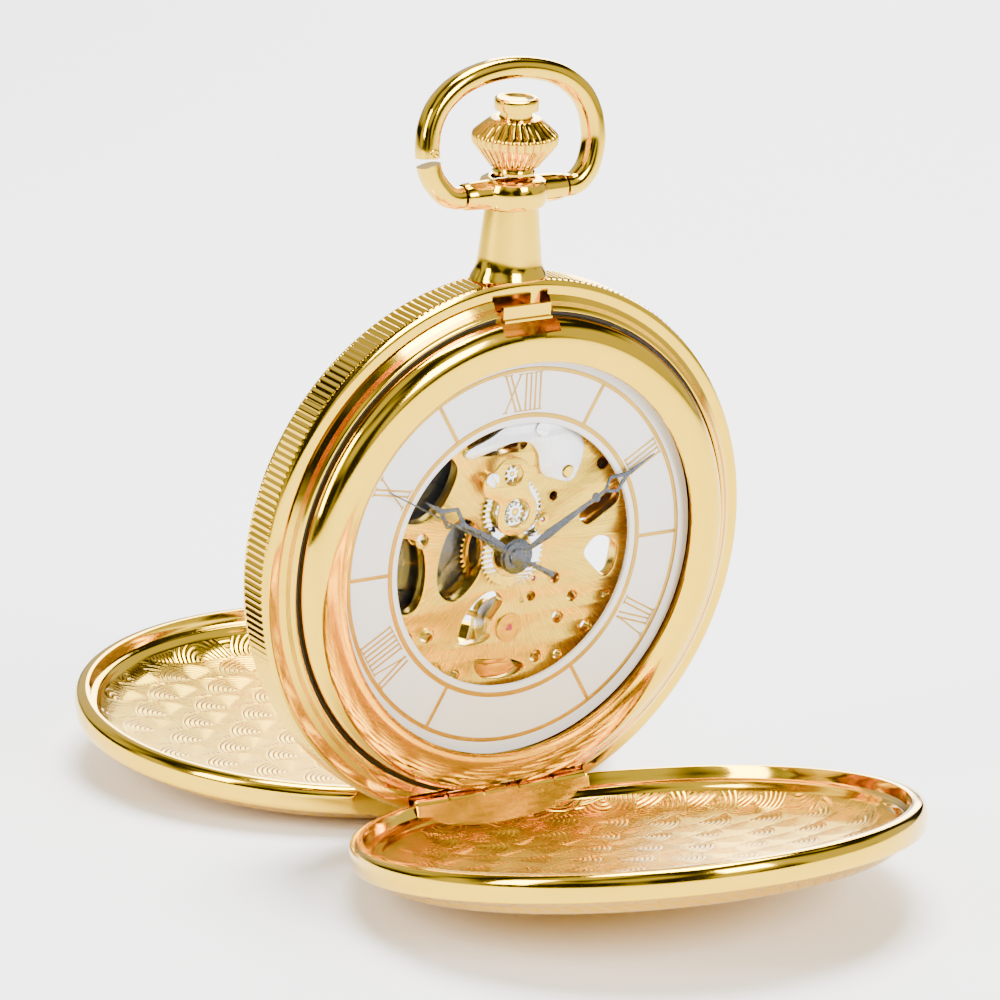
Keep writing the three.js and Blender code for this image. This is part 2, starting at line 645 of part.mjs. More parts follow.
function minuteWheel() {
  const module = (2 * distance([0, 0], minuteAt)) / 48;
  const small = (2 * distance([0, 0], minuteAt)) / 50;
  const back = angleTo(minuteAt, [0, 0]);
  let made = toothed(36, module, back + Math.PI / 36, minuteAt, -2.28, -2.08);
  made = made.add(toothed(10, small, back + Math.PI / 10, minuteAt, -2.75, -2.2));
  return made.subtract(rodY(0.33, -4, -1, minuteAt[0], minuteAt[1], 10));
}

function settingWheel() {
  const module = (2 * distance([0, 0], minuteAt)) / 48;
  const back = angleTo(settingAt, minuteAt);
  const teeth = 8;
  const made = toothed(teeth, module, settingPhase + back, settingAt, -2.75, -2.08);
  return made.subtract(rodY(0.23, -4, -1, settingAt[0], settingAt[1], 10));
}

// ---- Going train ----


function centerWheel() {
  const module = (2 * distance([0, 0], thirdAt)) / 54;
  const big = (2 * distance([0, 0], barrelAt)) / 72;
  let made = toothed(48, module, angleTo([0, 0], thirdAt), [0, 0], -0.5, -0.3);
  made = made.subtract(spokeWindows(3, 1.45, 3.2, 0.5, [0, 0], -0.5, -0.3));
  made = made.add(toothed(8, big, angleTo([0, 0], barrelAt) + Math.PI / 8, [0, 0], -0.35, 0.58));
  made = made.add(rodY(0.4, -3.2, 0, 0, 0, 16));
  made = made.add(rodY(0.47, -1.95, 0, 0, 0, 16));
  return made.subtract(rodY(0.23, -5, 2, 0, 0, 14));
}

function thirdWheel() {
  const low = (2 * distance([0, 0], thirdAt)) / 54;
  const high = (2 * distance([0, 0], thirdAt)) / 51;
  const back = angleTo(thirdAt, [0, 0]);
  let made = toothed(45, high, back, thirdAt, 0.72, 0.9);
  made = made.subtract(spokeWindows(3, 0.9, 3.1, 0.45, thirdAt, 0.72, 0.9));
  made = made.add(toothed(6, low, back + Math.PI / 6, thirdAt, -0.58, -0.2));
  made = made.add(rodY(0.27, -0.6, 1.2, thirdAt[0], thirdAt[1], 10));
  return made.add(rodY(0.14, -1.85, 2.2, thirdAt[0], thirdAt[1], 8));
}

function fourthWheel() {
  const small = (2 * distance([0, 0], thirdAt)) / 51;
  const module = (2 * distance([0, 0], escapeAt)) / 66;
  const facing = angleTo([0, 0], thirdAt);
  let made = toothed(60, module, angleTo([0, 0], escapeAt), [0, 0], 1.12, 1.28);
  made = made.subtract(spokeWindows(3, 0.8, 3.1, 0.4, [0, 0], 1.12, 1.28));
  made = made.add(toothed(6, small, facing + Math.PI / 6, [0, 0], 0.66, 1.2));
  return made.add(rodY(0.17, -3.94, 2.2, 0, 0, 10));
}

function escapeWheel() {
  const module = (2 * distance([0, 0], escapeAt)) / 66;
  const back = angleTo(escapeAt, [0, 0]);
  const path = [];
  const tip = 1.8;
  for (let i = 0; i < 15; i += 1) {
    const turn = escapeToBalance + ((i + 0.5) / 15) * Math.PI * 2;
    for (const [radius, shift] of [[1.35, -0.13], [tip, -0.02], [tip, 0.02], [1.35, 0.06]]) {
      path.push([escapeAt[0] + radius * Math.cos(turn + shift), escapeAt[1] + radius * Math.sin(turn + shift)]);
    }
  }
  let made = plate(path, 0.2, 0.34);
  made = made.subtract(spokeWindows(3, 0.45, 1.1, 0.2, escapeAt, 0.2, 0.34));
  made = made.add(toothed(6, module, back + Math.PI / 6, escapeAt, 1.02, 1.38));
  made = made.add(rodY(0.2, 0.1, 1.4, escapeAt[0], escapeAt[1], 8));
  return made.add(rodY(0.13, -1.85, 2.2, escapeAt[0], escapeAt[1], 8));
}

// Built along +x from the pallet arbor, then turned towards the balance.
function palletFork() {
  const y0 = 0.18;
  const y1 = 0.36;
  const reach = distance(palletAt, balanceAt) - 0.62;
  let made = plate([[-0.2, -0.16], [reach - 0.4, -0.1], [reach - 0.3, -0.3], [reach, -0.3], [reach, -0.12],
    [reach - 0.22, -0.09], [reach - 0.22, 0.09], [reach, 0.12], [reach, 0.3], [reach - 0.3, 0.3],
    [reach - 0.4, 0.1], [-0.2, 0.16]], y0, y1);
  made = made.add(plate([[0.15, -0.25], [0.2, 0.25], [-0.1, 1.12], [-0.5, 1.1], [-0.32, 0.8]], y0, y1));
  made = made.add(plate([[0.2, -0.25], [0.15, 0.25], [-0.32, -0.8], [-0.5, -1.1], [-0.1, -1.12]], y0, y1));
  made = made.add(rodY(0.36, y0, y1, 0, 0, 14)).add(rodY(0.13, -1.85, 1.0, 0, 0, 8));
  const turn = THREE.MathUtils.radToDeg(angleTo(palletAt, balanceAt));
  return made.rotate([0, -turn, 0]).translate([palletAt[0], 0, palletAt[1]]);
}

function balanceWheel() {
  let made = ring(3.85, 4.35, 0.55, 0.95, 28);
  made = made.add(box(-3.95, 3.95, 0.66, 0.84, -0.3, 0.3));
  made = made.add(rodY(0.5, 0.6, 0.9, 0, 0, 16)).add(rodY(0.42, 0.16, 0.4, 0, 0, 16));
  made = made.add(rodY(0.2, -0.6, 1.2, 0, 0, 10)).add(rodY(0.14, -1.6, 2.1, 0, 0, 8));
  for (let i = 0; i < 6; i += 1) {
    const turn = (i / 6) * Math.PI * 2 + 0.26;
    made = made.add(rodX(0.16, 4.25, 4.55, 0.75, 0, 4).rotate([0, THREE.MathUtils.radToDeg(turn), 0]));
  }
  return made.rotate([0, 20, 0]).translate([balanceAt[0], 0, balanceAt[1]]);
}

function hairspring() {
  const turns = 5;
  const steps = 62;
  const outer = [];
  const inner = [];
  for (let i = 0; i <= steps; i += 1) {
    const t = i / steps;
    const turn = 0.6 + t * turns * Math.PI * 2;
    const radius = 0.62 + t * 1.95;
    outer.push([(radius + 0.05) * Math.cos(turn), (radius + 0.05) * Math.sin(turn)]);
    inner.push([(radius - 0.05) * Math.cos(turn), (radius - 0.05) * Math.sin(turn)]);
  }
  let made = plate([...outer, ...inner.reverse()], -0.42, -0.1);
  made = made.add(ring(0.23, 0.66, -0.42, -0.1, 16));
  return made.translate([balanceAt[0], 0, balanceAt[1]]);
}

function barrel() {
  const module = (2 * distance([0, 0], barrelAt)) / 72;
  let made = toothed(64, module, angleTo(barrelAt, [0, 0]), barrelAt, 0.0, 0.3);
  made = made.add(rodY(7.1, 0.0, 1.05, barrelAt[0], barrelAt[1], 20));
  made = made.subtract(rodY(6.7, 0.3, 2.0, barrelAt[0], barrelAt[1], 20));
  return made.subtract(rodY(0.62, -1, 2, barrelAt[0], barrelAt[1], 10));
}

function mainspring() {
  const steps = 62;
  const turns = 5;
  const outer = [];
  const inner = [];
  for (let i = 0; i <= steps; i += 1) {
    const t = i / steps;
    const turn = t * turns * Math.PI * 2;
    const radius = 3.6 + t * 2.85;
    outer.push([(radius + 0.12) * Math.cos(turn), (radius + 0.12) * Math.sin(turn)]);
    inner.push([(radius - 0.12) * Math.cos(turn), (radius - 0.12) * Math.sin(turn)]);
  }
  return plate([...outer, ...inner.reverse()], 0.38, 0.88).translate([barrelAt[0], 0, barrelAt[1]]);
}

function barrelArbor() {
  let made = rodY(0.56, -1.3, 2.35, 0, 0, 16).add(rodY(1.5, 0.4, 0.9, 0, 0, 20));
  made = made.add(box(-0.42, 0.42, 2.2, 2.75, -0.42, 0.42));
  made = made.subtract(rodY(0.26, 1.6, 4, 0, 0, 8));
  return made.translate([barrelAt[0], 0, barrelAt[1]]);
}

// ---- Back plates ----

function arcRun(radius, fromDeg, toDeg, steps) {
  const run = [];
  for (let i = 0; i <= steps; i += 1) {
    const turn = THREE.MathUtils.degToRad(fromDeg + ((toDeg - fromDeg) * i) / steps);
    run.push([radius * Math.cos(turn), radius * Math.sin(turn)]);
  }
  return run;
}

function addPosts(bridge, spots) {
  let made = bridge;
  for (const [x, z] of spots) {
    made = made.add(rodY(1.15, -0.65, bridgeFront + 0.2, x, z, 10));
    made = made.subtract(rodY(0.44, 0.6, 4, x, z, 8));
  }
  return made;
}

function barrelBridge() {
  const outline = [...arcRun(18.1, 80, 214, 22), [-8.4, -5.4], [-4.6, -3.4], [-1.9, 0.6], [-1.5, 4.6], [0.6, 8.6]];
  const holes = [roundPath([[-14.6, 3.2], [-13.2, 7.6], [-9.8, 10.4], [-9.6, 8.2], [-12.0, 6.2], [-13.0, 3.0]], 3)];
  let made = plate(outline, bridgeFront, bridgeBack, holes);
  made = addPosts(made, [screwSpots[0], screwSpots[1]]);
  made = made.subtract(rodY(0.62, 0, 4, barrelAt[0], barrelAt[1], 10));
  return made.subtract(rodY(0.5, 1, 4, crownWheelAt[0], crownWheelAt[1], 8));
}

function trainBridge() {
  const outline = [
    ...arcRun(18.1, -37, 77, 20), [1.3, 8.5], [-0.8, 4.4], [-1.3, 1.0], [-1.0, -1.6], [1.4, -4.6], [5.4, -6.0],
  ];
  const holes = [roundPath([[6.0, -2.4], [8.4, -5.0], [12.6, -6.0], [13.6, -1.0], [10.6, 0.6], [7.6, -0.2]], 3)];
  let made = plate(outline, bridgeFront, bridgeBack, holes);
  made = addPosts(made, [screwSpots[2], screwSpots[3], screwSpots[4]]);
  made = made.subtract(rodY(0.2, 1, 4, 0, 0, 10));
  for (const at of [thirdAt, escapeAt]) made = made.subtract(rodY(0.17, 1, 4, at[0], at[1], 8));
  return made;
}

function balanceCock() {
  const outline = roundPath([
    [-4.6, -17.2], [0, -18.0], [4.4, -17.3], [4.2, -13.6], [2.6, -10.8], [1.9, -8.4], [1.6, -6.4],
    [0.5, -5.7], [-0.6, -6.4], [-1.0, -8.6], [-1.9, -11.0], [-4.2, -13.6],
  ], 4);
  let made = plate(outline, 1.6, bridgeBack);
  made = made.add(box(-3.4, 3.6, -0.65, 1.8, -16.9, -13.4));
  made = made.subtract(rodY(0.17, 0, 4, balanceAt[0], balanceAt[1], 8));
  return made.subtract(rodY(0.44, 0.6, 4, 0, -15.4, 10));
}

function ratchetWheel() {
  const facing = angleTo(barrelAt, crownWheelAt);
  const made = toothed(ratchetTeeth, ratchetModule, facing, barrelAt, 2.36, 2.66);
  return made.subtract(box(-0.45, 0.45, 2, 3, -0.45, 0.45).translate([barrelAt[0], 0, barrelAt[1]]));
}

function ratchetScrew() {
  return slottedScrew(barrelAt[0], barrelAt[1], 0.95, 2.94, 2.78, 0.24, 1.7, 35);
}

function crownWheel() {
  const back = angleTo(crownWheelAt, barrelAt);
  const made = toothed(crownWheelTeeth, ratchetModule, back + Math.PI / crownWheelTeeth, crownWheelAt, 2.36, 2.66);
  return made.subtract(rodY(0.5, 2, 3, crownWheelAt[0], crownWheelAt[1], 10));
}

function crownWheelScrew() {
  const [x, z] = crownWheelAt;
  const made = slottedScrew(x, z, 1.1, 2.9, 2.7, 0.46, 1.55, 80);
  return made;
}

function click() {
  const facing = THREE.MathUtils.degToRad(160);
  const reach = (ratchetTeeth * ratchetModule) / 2 + 0.3;
  const at = [barrelAt[0] + reach * Math.cos(facing), barrelAt[1] + reach * Math.sin(facing)];
  const made = plate([[0, 0], [-0.9, 0.35], [-1.2, 1.6], [-0.2, 1.9], [0.35, 1.2]], 2.36, 2.62);
  return made.add(rodY(0.7, 2.36, 2.7, -0.45, 1.2, 14)).translate([at[0] - 0.15, 0, at[1] + 0.1]);
}

function bridgeScrew([x, z]) {
  return slottedScrew(x, z, 0.85, 2.52, 2.32, 0.4, 0.75, 30 * x);
}

// ---- Assembly ----

node('case_band', caseBand(), gold);
node('movement_ring', movementRing(), plateGold);
node('front_bezel', frontBezel(), gold);
node('front_crystal', frontCrystal(), glass);
node('rear_bezel', rearBezel(), gold);
node('rear_crystal', rearCrystal(), glass);
node('front_cover', cover(-1), gold);
node('back_cover', cover(1), gold);
node('front_hinge_pin', hingePin(-1), gold);
node('back_hinge_pin', hingePin(1), gold);
node('lift_spring', liftSpring(), silver);
node('latch', latch(), silver);
node('pendant_neck', pendantNeck(), gold);
node('bow_collar', bowCollar(), gold);
node('bow', bow(), gold);
node('bow_gate', bowGate(), gold);
node('gate_rivet', gateRivet(), gold);
node('crown', crown(), gold);
node('crown_button', crownButton(), gold);
node('winding_stem', windingStem(), silver);
node('sliding_pinion', slidingPinion(), silver);

node('dial', dial(), white);
node('dial_frame', dialFrame(), gold);
node('dial_spacer', dialSpacer(), plateGold);
node('hour_hand', hourHand(), dark);
node('minute_hand', minuteHand(), dark);
node('second_hand', secondHand(), dark);

node('main_plate', mainPlate(), plateGold);
node('minute_work_bridge', minuteWorkBridge(), plateGold);
node('minute_bridge_screw', minuteBridgeScrew(), silver);
node('setting_lever_spring', settingLeverSpring(), silver);
node('setting_spring_screw', settingSpringScrew(), silver);
node('shock_setting', shockSetting(), plateGold);
node('hour_wheel', hourWheel(), silver);
node('cannon_pinion', cannonPinion(), silver);
node('minute_wheel', minuteWheel(), silver);
node('setting_wheel', settingWheel(), silver);

node('center_wheel', centerWheel(), plateGold);
node('third_wheel', thirdWheel(), plateGold);
node('fourth_wheel', fourthWheel(), plateGold);
node('escape_wheel', escapeWheel(), silver);
node('pallet_fork', palletFork(), silver);
node('balance_wheel', balanceWheel(), plateGold);
node('hairspring', hairspring(), silver);
node('barrel', barrel(), dark);
node('mainspring', mainspring(), silver);
node('barrel_arbor', barrelArbor(), silver);

node('barrel_bridge', barrelBridge(), plateGold);
node('train_bridge', trainBridge(), plateGold);
node('balance_cock', balanceCock(), plateGold);
node('ratchet_wheel', ratchetWheel(), silver);
node('ratchet_screw', ratchetScrew(), silver);
node('crown_wheel', crownWheel(), silver);
node('crown_wheel_screw', crownWheelScrew(), silver);
node('click', click(), silver);
screwSpots.slice(0, 4).forEach((at, i) => node(`bridge_screw_${i + 1}`, bridgeScrew(at), silver));

// The lowest point rests on z = 0, with the whole thing centred over the origin.
group.updateMatrixWorld(true);
const bounds = new THREE.Box3().setFromObject(group, true);
const middle = bounds.getCenter(new THREE.Vector3());
group.position.set(-middle.x, -middle.y, -bounds.min.z);

export default group;
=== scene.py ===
import json
import math
import bpy
import bmesh
from mathutils import Matrix, Vector


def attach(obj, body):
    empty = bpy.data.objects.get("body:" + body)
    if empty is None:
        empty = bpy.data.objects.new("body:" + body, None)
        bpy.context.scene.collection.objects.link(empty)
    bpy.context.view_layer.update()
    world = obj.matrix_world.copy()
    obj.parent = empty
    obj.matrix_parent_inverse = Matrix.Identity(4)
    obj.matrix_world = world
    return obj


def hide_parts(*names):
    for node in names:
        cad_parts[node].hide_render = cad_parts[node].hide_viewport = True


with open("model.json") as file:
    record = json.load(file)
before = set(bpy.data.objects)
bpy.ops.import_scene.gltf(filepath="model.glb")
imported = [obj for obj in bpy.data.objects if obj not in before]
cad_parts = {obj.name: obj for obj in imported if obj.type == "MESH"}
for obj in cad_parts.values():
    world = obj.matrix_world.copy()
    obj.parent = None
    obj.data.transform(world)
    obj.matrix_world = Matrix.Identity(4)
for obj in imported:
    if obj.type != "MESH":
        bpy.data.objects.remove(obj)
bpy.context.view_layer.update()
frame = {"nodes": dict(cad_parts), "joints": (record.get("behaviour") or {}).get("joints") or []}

joints = {j["name"]: j for j in frame["joints"]}

# where things are

turnAxis = joints["seconds_turn"]["axis"]
lean = math.atan2(turnAxis[2], turnAxis[1])
casePlace = Matrix.Translation(joints["seconds_turn"]["pos_m"]) @ Matrix.Rotation(lean, 4, "X")
casePlace = casePlace @ Matrix.Scale(0.001, 4)  # millimetres to metres
hinge = {"y": 2.35, "z": -22.6, "radius": 0.7, "chord": -22.0}
openAngle = {
    "front": math.radians(-joints["front_cover_hinge"]["range_deg"][0]),
    "back": math.radians(joints["back_cover_hinge"]["range_deg"][1]),
}


def coverPlace(side):
    swing = Matrix.Translation((0, -hinge["y"], hinge["z"])) @ Matrix.Rotation(openAngle[side], 4, "X")
    swing = swing @ Matrix.Translation((0, hinge["y"], -hinge["z"]))
    if side == "back":
        swing = Matrix.Rotation(math.pi, 4, "Z") @ swing
    return casePlace @ swing


# materials

class Nodes:
    # unit turns object coordinates into millimetres
    def __init__(self, name, unit=1.0):
        self.unit = unit
        self.mat = bpy.data.materials.new(name)
        self.mat.use_nodes = True
        self.tree = self.mat.node_tree
        self.shader = self.tree.nodes["Principled BSDF"]
        self.out = self.tree.nodes["Material Output"]

    def add(self, kind, **values):
        node = self.tree.nodes.new(kind)
        for key, value in values.items():
            setattr(node, key, value)
        return node

    def link(self, a, b):
        self.tree.links.new(a, b)

    def math(self, how, a, b=None, c=None):
        node = self.add("ShaderNodeMath", operation=how)
        for i, value in enumerate((a, b, c)):
            if value is None:
                continue
            if isinstance(value, (int, float)):
                node.inputs[i].default_value = value
            else:
                self.link(value, node.inputs[i])
        return node.outputs[0]

    def coords(self, scale=(1, 1, 1)):
        place = self.add("ShaderNodeTexCoord")
        mapping = self.add("ShaderNodeMapping")
        mapping.inputs["Scale"].default_value = [v * self.unit for v in scale]
        self.link(place.outputs["Object"], mapping.inputs["Vector"])
        return mapping.outputs["Vector"]

    def noise(self, scale, size=(1, 1, 1), detail=3.0):
        node = self.add("ShaderNodeTexNoise")
        node.inputs["Scale"].default_value = scale
        node.inputs["Detail"].default_value = detail
        self.link(self.coords(size), node.inputs["Vector"])
        return node.outputs["Fac"]

    def spread(self, value, low, high):
        node = self.add("ShaderNodeMapRange")
        node.inputs["To Min"].default_value = low
        node.inputs["To Max"].default_value = high
        self.link(value, node.inputs["Value"])
        return node.outputs["Result"]

    def blendColors(self, factor, a, b):
        node = self.add("ShaderNodeMix", data_type="RGBA")
        node.inputs[6].default_value = (*a, 1)
        node.inputs[7].default_value = (*b, 1)
        self.link(factor, node.inputs[0])
        return node.outputs[2]

    def bump(self, height, strength, distance):
        node = self.add("ShaderNodeBump")
        node.inputs["Strength"].default_value = strength
        node.inputs["Distance"].default_value = distance
        self.link(height, node.inputs["Height"])
        self.link(node.outputs["Normal"], self.shader.inputs["Normal"])


golds = {
    "bright": (0.90, 0.57, 0.022), "deep": (0.80, 0.48, 0.012),
    "gilt": (0.88, 0.58, 0.05), "giltDeep": (0.70, 0.42, 0.025),
}
steels = {
    "bright": (0.86, 0.87, 0.88), "deep": (0.70, 0.71, 0.73),
    "satin": (0.88, 0.88, 0.89), "satinDeep": (0.72, 0.73, 0.75),
}


def polished(name, light, deep, rough=0.1, metal=1.0, unit=1.0):
    m = Nodes(name, unit)
    m.shader.inputs["Metallic"].default_value = metal
    tone = m.noise(0.35)
    m.link(m.blendColors(tone, light, deep), m.shader.inputs["Base Color"])
    m.link(m.spread(m.noise(1.7, detail=6.0), rough * 0.75, rough * 1.3), m.shader.inputs["Roughness"])
    m.bump(m.noise(4.0, detail=4.0), 0.03, 0.00002)
    return m.mat


def brushed(name, light, deep, stretch, rough=0.26, unit=1.0):
    m = Nodes(name, unit)
    m.shader.inputs["Metallic"].default_value = 1.0
    lines = m.noise(2.4, stretch, 6.0)
    m.link(m.blendColors(lines, light, deep), m.shader.inputs["Base Color"])
    m.link(m.spread(lines, rough * 0.7, rough * 1.5), m.shader.inputs["Roughness"])
    m.bump(lines, 0.5, 0.00006)
    return m.mat


def sunburst(name, light, deep):
    # fine scratches that fan out from the middle of the plate
    m = Nodes(name)
    m.shader.inputs["Metallic"].default_value = 1.0
    split = m.add("ShaderNodeSeparateXYZ")
    m.link(m.coords(), split.inputs[0])
    angle = m.math("ARCTAN2", split.outputs[0], m.math("SUBTRACT", split.outputs[2], 1.0))
    fan = m.add("ShaderNodeTexNoise", noise_dimensions="1D")
    fan.inputs["Scale"].default_value = 55.0
    fan.inputs["Detail"].default_value = 5.0
    m.link(angle, fan.inputs["W"])
    lines = fan.outputs["Fac"]
    m.link(m.blendColors(lines, light, deep), m.shader.inputs["Base Color"])
    m.link(m.spread(lines, 0.16, 0.4), m.shader.inputs["Roughness"])
    m.bump(lines, 0.5, 0.00006)
    return m.mat


def engineTurned(name, light, deep):
    # overlapping fish-scale whirls of fine concentric arcs
    m = Nodes(name)
    whirl = {"pitch": 6.4, "row": 3.4, "line": 0.46}
    m.shader.inputs["Metallic"].default_value = 1.0
    split = m.add("ShaderNodeSeparateXYZ")
    m.link(m.coords(), split.inputs[0])
    x = split.outputs[0]
    z = split.outputs[2]
    row = m.math("FLOOR", m.math("DIVIDE", z, whirl["row"]))
    up = m.math("SUBTRACT", z, m.math("MULTIPLY", row, whirl["row"]))

    def local(rowValue):
        odd = m.math("MULTIPLY", m.math("FLOORED_MODULO", rowValue, 2.0), 0.5)
        cell = m.math("ADD", m.math("DIVIDE", x, whirl["pitch"]), odd)
        return m.math("MULTIPLY", m.math("SUBTRACT", m.math("FRACT", cell), 0.5), whirl["pitch"])

    u0 = local(row)
    u1 = local(m.math("SUBTRACT", row, 1.0))
    v1 = m.math("ADD", up, whirl["row"])
    d0 = m.math("SQRT", m.math("ADD", m.math("MULTIPLY", u0, u0), m.math("MULTIPLY", up, up)))
    d1 = m.math("SQRT", m.math("ADD", m.math("MULTIPLY", u1, u1), m.math("MULTIPLY", v1, v1)))
    inside = m.math("LESS_THAN", d0, whirl["pitch"] * 0.5)

    def pick(a, b):
        first = m.math("MULTIPLY", a, inside)
        second = m.math("MULTIPLY", b, m.math("SUBTRACT", 1.0, inside))
        return m.math("ADD", first, second)

    dist = pick(d0, d1)
    angle = m.math("ARCTAN2", pick(u0, u1), pick(up, v1))
    arcs = m.math("SINE", m.math("MULTIPLY", dist, 2 * math.pi / whirl["line"]))
    fan = m.spread(m.math("SINE", m.math("MULTIPLY", angle, 2.6)), -0.35, 1.1)
    ridge = m.spread(arcs, 0.0, 1.0)
    tone = m.math("ADD", m.math("MULTIPLY", fan, 0.6), m.math("MULTIPLY", ridge, 0.35))
    m.link(m.blendColors(tone, light, deep), m.shader.inputs["Base Color"])
    m.link(m.spread(tone, 0.16, 0.34), m.shader.inputs["Roughness"])
    m.bump(arcs, 0.55, 0.00005)
    return m.mat


def clearGlass(name):
    m = Nodes(name)
    clear = m.add("ShaderNodeBsdfTransparent")
    shine = m.add("ShaderNodeBsdfGlossy")
    shine.inputs["Roughness"].default_value = 0.015
    facing = m.add("ShaderNodeLayerWeight")
    facing.inputs["Blend"].default_value = 0.12
    amount = m.math("MULTIPLY", facing.outputs["Fresnel"], m.spread(m.noise(0.2), 0.3, 0.4))
    both = m.add("ShaderNodeMixShader")
    m.link(amount, both.inputs[0])
    m.link(clear.outputs[0], both.inputs[1])
    m.link(shine.outputs[0], both.inputs[2])
    m.link(both.outputs[0], m.out.inputs["Surface"])
    return m.mat


def satinWhite(name):
    m = Nodes(name)
    m.link(
        m.blendColors(m.noise(1.2), (0.90, 0.88, 0.86), (0.86, 0.84, 0.82)),
        m.shader.inputs["Base Color"],
    )
    m.link(m.spread(m.noise(6.0), 0.28, 0.36), m.shader.inputs["Roughness"])
    return m.mat


caseGold = polished("case_gold", golds["bright"], golds["deep"], 0.09)
markGold = polished("mark_gold", (0.62, 0.38, 0.05), (0.45, 0.26, 0.03), 0.34)
turnedGold = engineTurned("engine_turned_gold", (0.86, 0.54, 0.02), (0.38, 0.21, 0.008))
plateGold = sunburst("plate_gold", golds["gilt"], golds["giltDeep"])
bridgeGold = brushed("bridge_gold", golds["gilt"], golds["giltDeep"], (0.25, 1.0, 3.0), 0.22)
wheelGold = polished("wheel_gold", golds["gilt"], golds["giltDeep"], 0.2)
steel = polished("steel", steels["bright"], steels["deep"], 0.14)
satinSteel = brushed("satin_steel", steels["satin"], steels["satinDeep"], (3.0, 1.0, 0.5), 0.3)
sunSteel = sunburst("sun_steel", steels["bright"], (0.62, 0.63, 0.66))
darkSteel = polished("dark_steel", (0.16, 0.17, 0.19), (0.10, 0.11, 0.13), 0.2, 0.95)
# painted shadow: a near-black gold that stands in for the shade in the groove round the dome
grooveShadeGold = polished("shadow_gold", (0.02, 0.014, 0.008), (0.01, 0.007, 0.004), 0.7, 0.2)
# the frame's own meshes are in metres, so their patterns are scaled up
cadGold = polished("inner_gold", golds["bright"], golds["deep"], 0.12, unit=1000.0)
cadGilt = polished("inner_gilt", golds["gilt"], golds["giltDeep"], 0.24, unit=1000.0)
cadSteel = polished("inner_steel", steels["bright"], steels["deep"], 0.16, unit=1000.0)
cadSatin = brushed(
    "inner_satin_steel", steels["satin"], steels["satinDeep"], (3.0, 1.0, 0.5), 0.28, unit=1000.0,
)
white = satinWhite("satin_white")
glass = clearGlass("clear_glass")
ruby = polished("ruby", (0.55, 0.03, 0.08), (0.40, 0.01, 0.05), 0.08, 0.0)
print("materials ready")


# mesh helpers, all in millimetres in the case frame

def makeObject(name, verts, faces, materials, place=None, sharp=32, faceMaterial=None):
    mesh = bpy.data.meshes.new(name)
    mesh.from_pydata(verts, [], faces)
    bm = bmesh.new()
    bm.from_mesh(mesh)
    bmesh.ops.remove_doubles(bm, verts=bm.verts, dist=1e-5)
    bmesh.ops.dissolve_degenerate(bm, edges=bm.edges, dist=1e-5)
    bmesh.ops.recalc_face_normals(bm, faces=bm.faces)
    bm.to_mesh(mesh)
    bm.free()
    for material in materials if isinstance(materials, (list, tuple)) else [materials]:
        mesh.materials.append(material)
    if faceMaterial:
        for poly in mesh.polygons:
            poly.material_index = faceMaterial(poly.center)
    mesh.shade_smooth()
    mesh.set_sharp_from_angle(angle=math.radians(sharp))
    obj = bpy.data.objects.new(name, mesh)
    bpy.context.collection.objects.link(obj)
    obj.matrix_world = casePlace if place is None else place
    return obj


def settle(obj, body, slot, *nodes):
    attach(obj, body)
    if nodes:
        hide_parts(*nodes)
    return obj


def around(at, radius, turn):
    return (at[0] + radius * math.cos(turn), at[1] + radius * math.sin(turn))


def revolveData(profile, segments, shape=None, axis="Y", centre=(0, 0)):
    closed = profile[0][0] > 1e-6 or profile[-1][0] > 1e-6
    verts = []
    faces = []
    count = len(profile)
    for s in range(segments):
        turn = 2 * math.pi * s / segments
        for i, (r, h) in enumerate(profile):
            if shape:
                r, h = shape(turn, r, h, i)
            a, b = r * math.sin(turn), r * math.cos(turn)
            if axis == "Y":
                verts.append((centre[0] + a, h, centre[1] + b))
            else:
                verts.append((centre[0] + a, centre[1] - b, h))
    for s in range(segments):
        n = (s + 1) % segments
        for i in range(count if closed else count - 1):
            k = (i + 1) % count
            faces.append((s * count + i, n * count + i, n * count + k, s * count + k))
    return verts, faces


def piece(name, parts, material, body, slot, *nodes, **rest):
    return settle(makeObject(name, *gather(parts), material, **rest), body, slot, *nodes)


def revolve(name, profile, segments, materials, shape=None, axis="Y", centre=(0, 0), **rest):
    verts, faces = revolveData(profile, segments, shape, axis, centre)
    return makeObject(name, verts, faces, materials, **rest)


def flatData(outline, holes, y0, y1, bevel):
    curve = bpy.data.curves.new("cut", "CURVE")
    curve.dimensions = "2D"
    curve.fill_mode = "BOTH"
    curve.extrude = (y1 - y0) / 2 - bevel
    curve.bevel_depth = bevel
    curve.bevel_resolution = 1
    curve.offset = -bevel
    for path in [outline, *holes]:
        spline = curve.splines.new("POLY")
        spline.points.add(len(path) - 1)
        for point, (x, z) in zip(spline.points, path):
            point.co = (x, z, 0, 1)
        spline.use_cyclic_u = True
    holder = bpy.data.objects.new("cut", curve)
    bpy.context.collection.objects.link(holder)
    bpy.context.view_layer.update()
    mesh = bpy.data.meshes.new_from_object(holder.evaluated_get(bpy.context.evaluated_depsgraph_get()))
    verts = [(v.co.x, (y0 + y1) / 2 - v.co.z, v.co.y) for v in mesh.vertices]
    faces = [tuple(p.vertices) for p in mesh.polygons]
    bpy.data.objects.remove(holder)
    bpy.data.curves.remove(curve)
    bpy.data.meshes.remove(mesh)
    return verts, faces


def gather(parts):
    verts = []
    faces = []
    for partVerts, partFaces in parts:
        base = len(verts)
        verts.extend(partVerts)
        faces.extend(tuple(base + i for i in face) for face in partFaces)
    return verts, faces


def flat(name, outline, y0, y1, materials, holes=(), bevel=0.04, extra=(), **rest):
    verts, faces = gather([flatData(outline, holes, y0, y1, bevel), *extra])
    return makeObject(name, verts, faces, materials, **rest)


def circle(radius, x=0.0, z=0.0, steps=40):
    return [around((x, z), radius, 2 * math.pi * i / steps) for i in range(steps)]


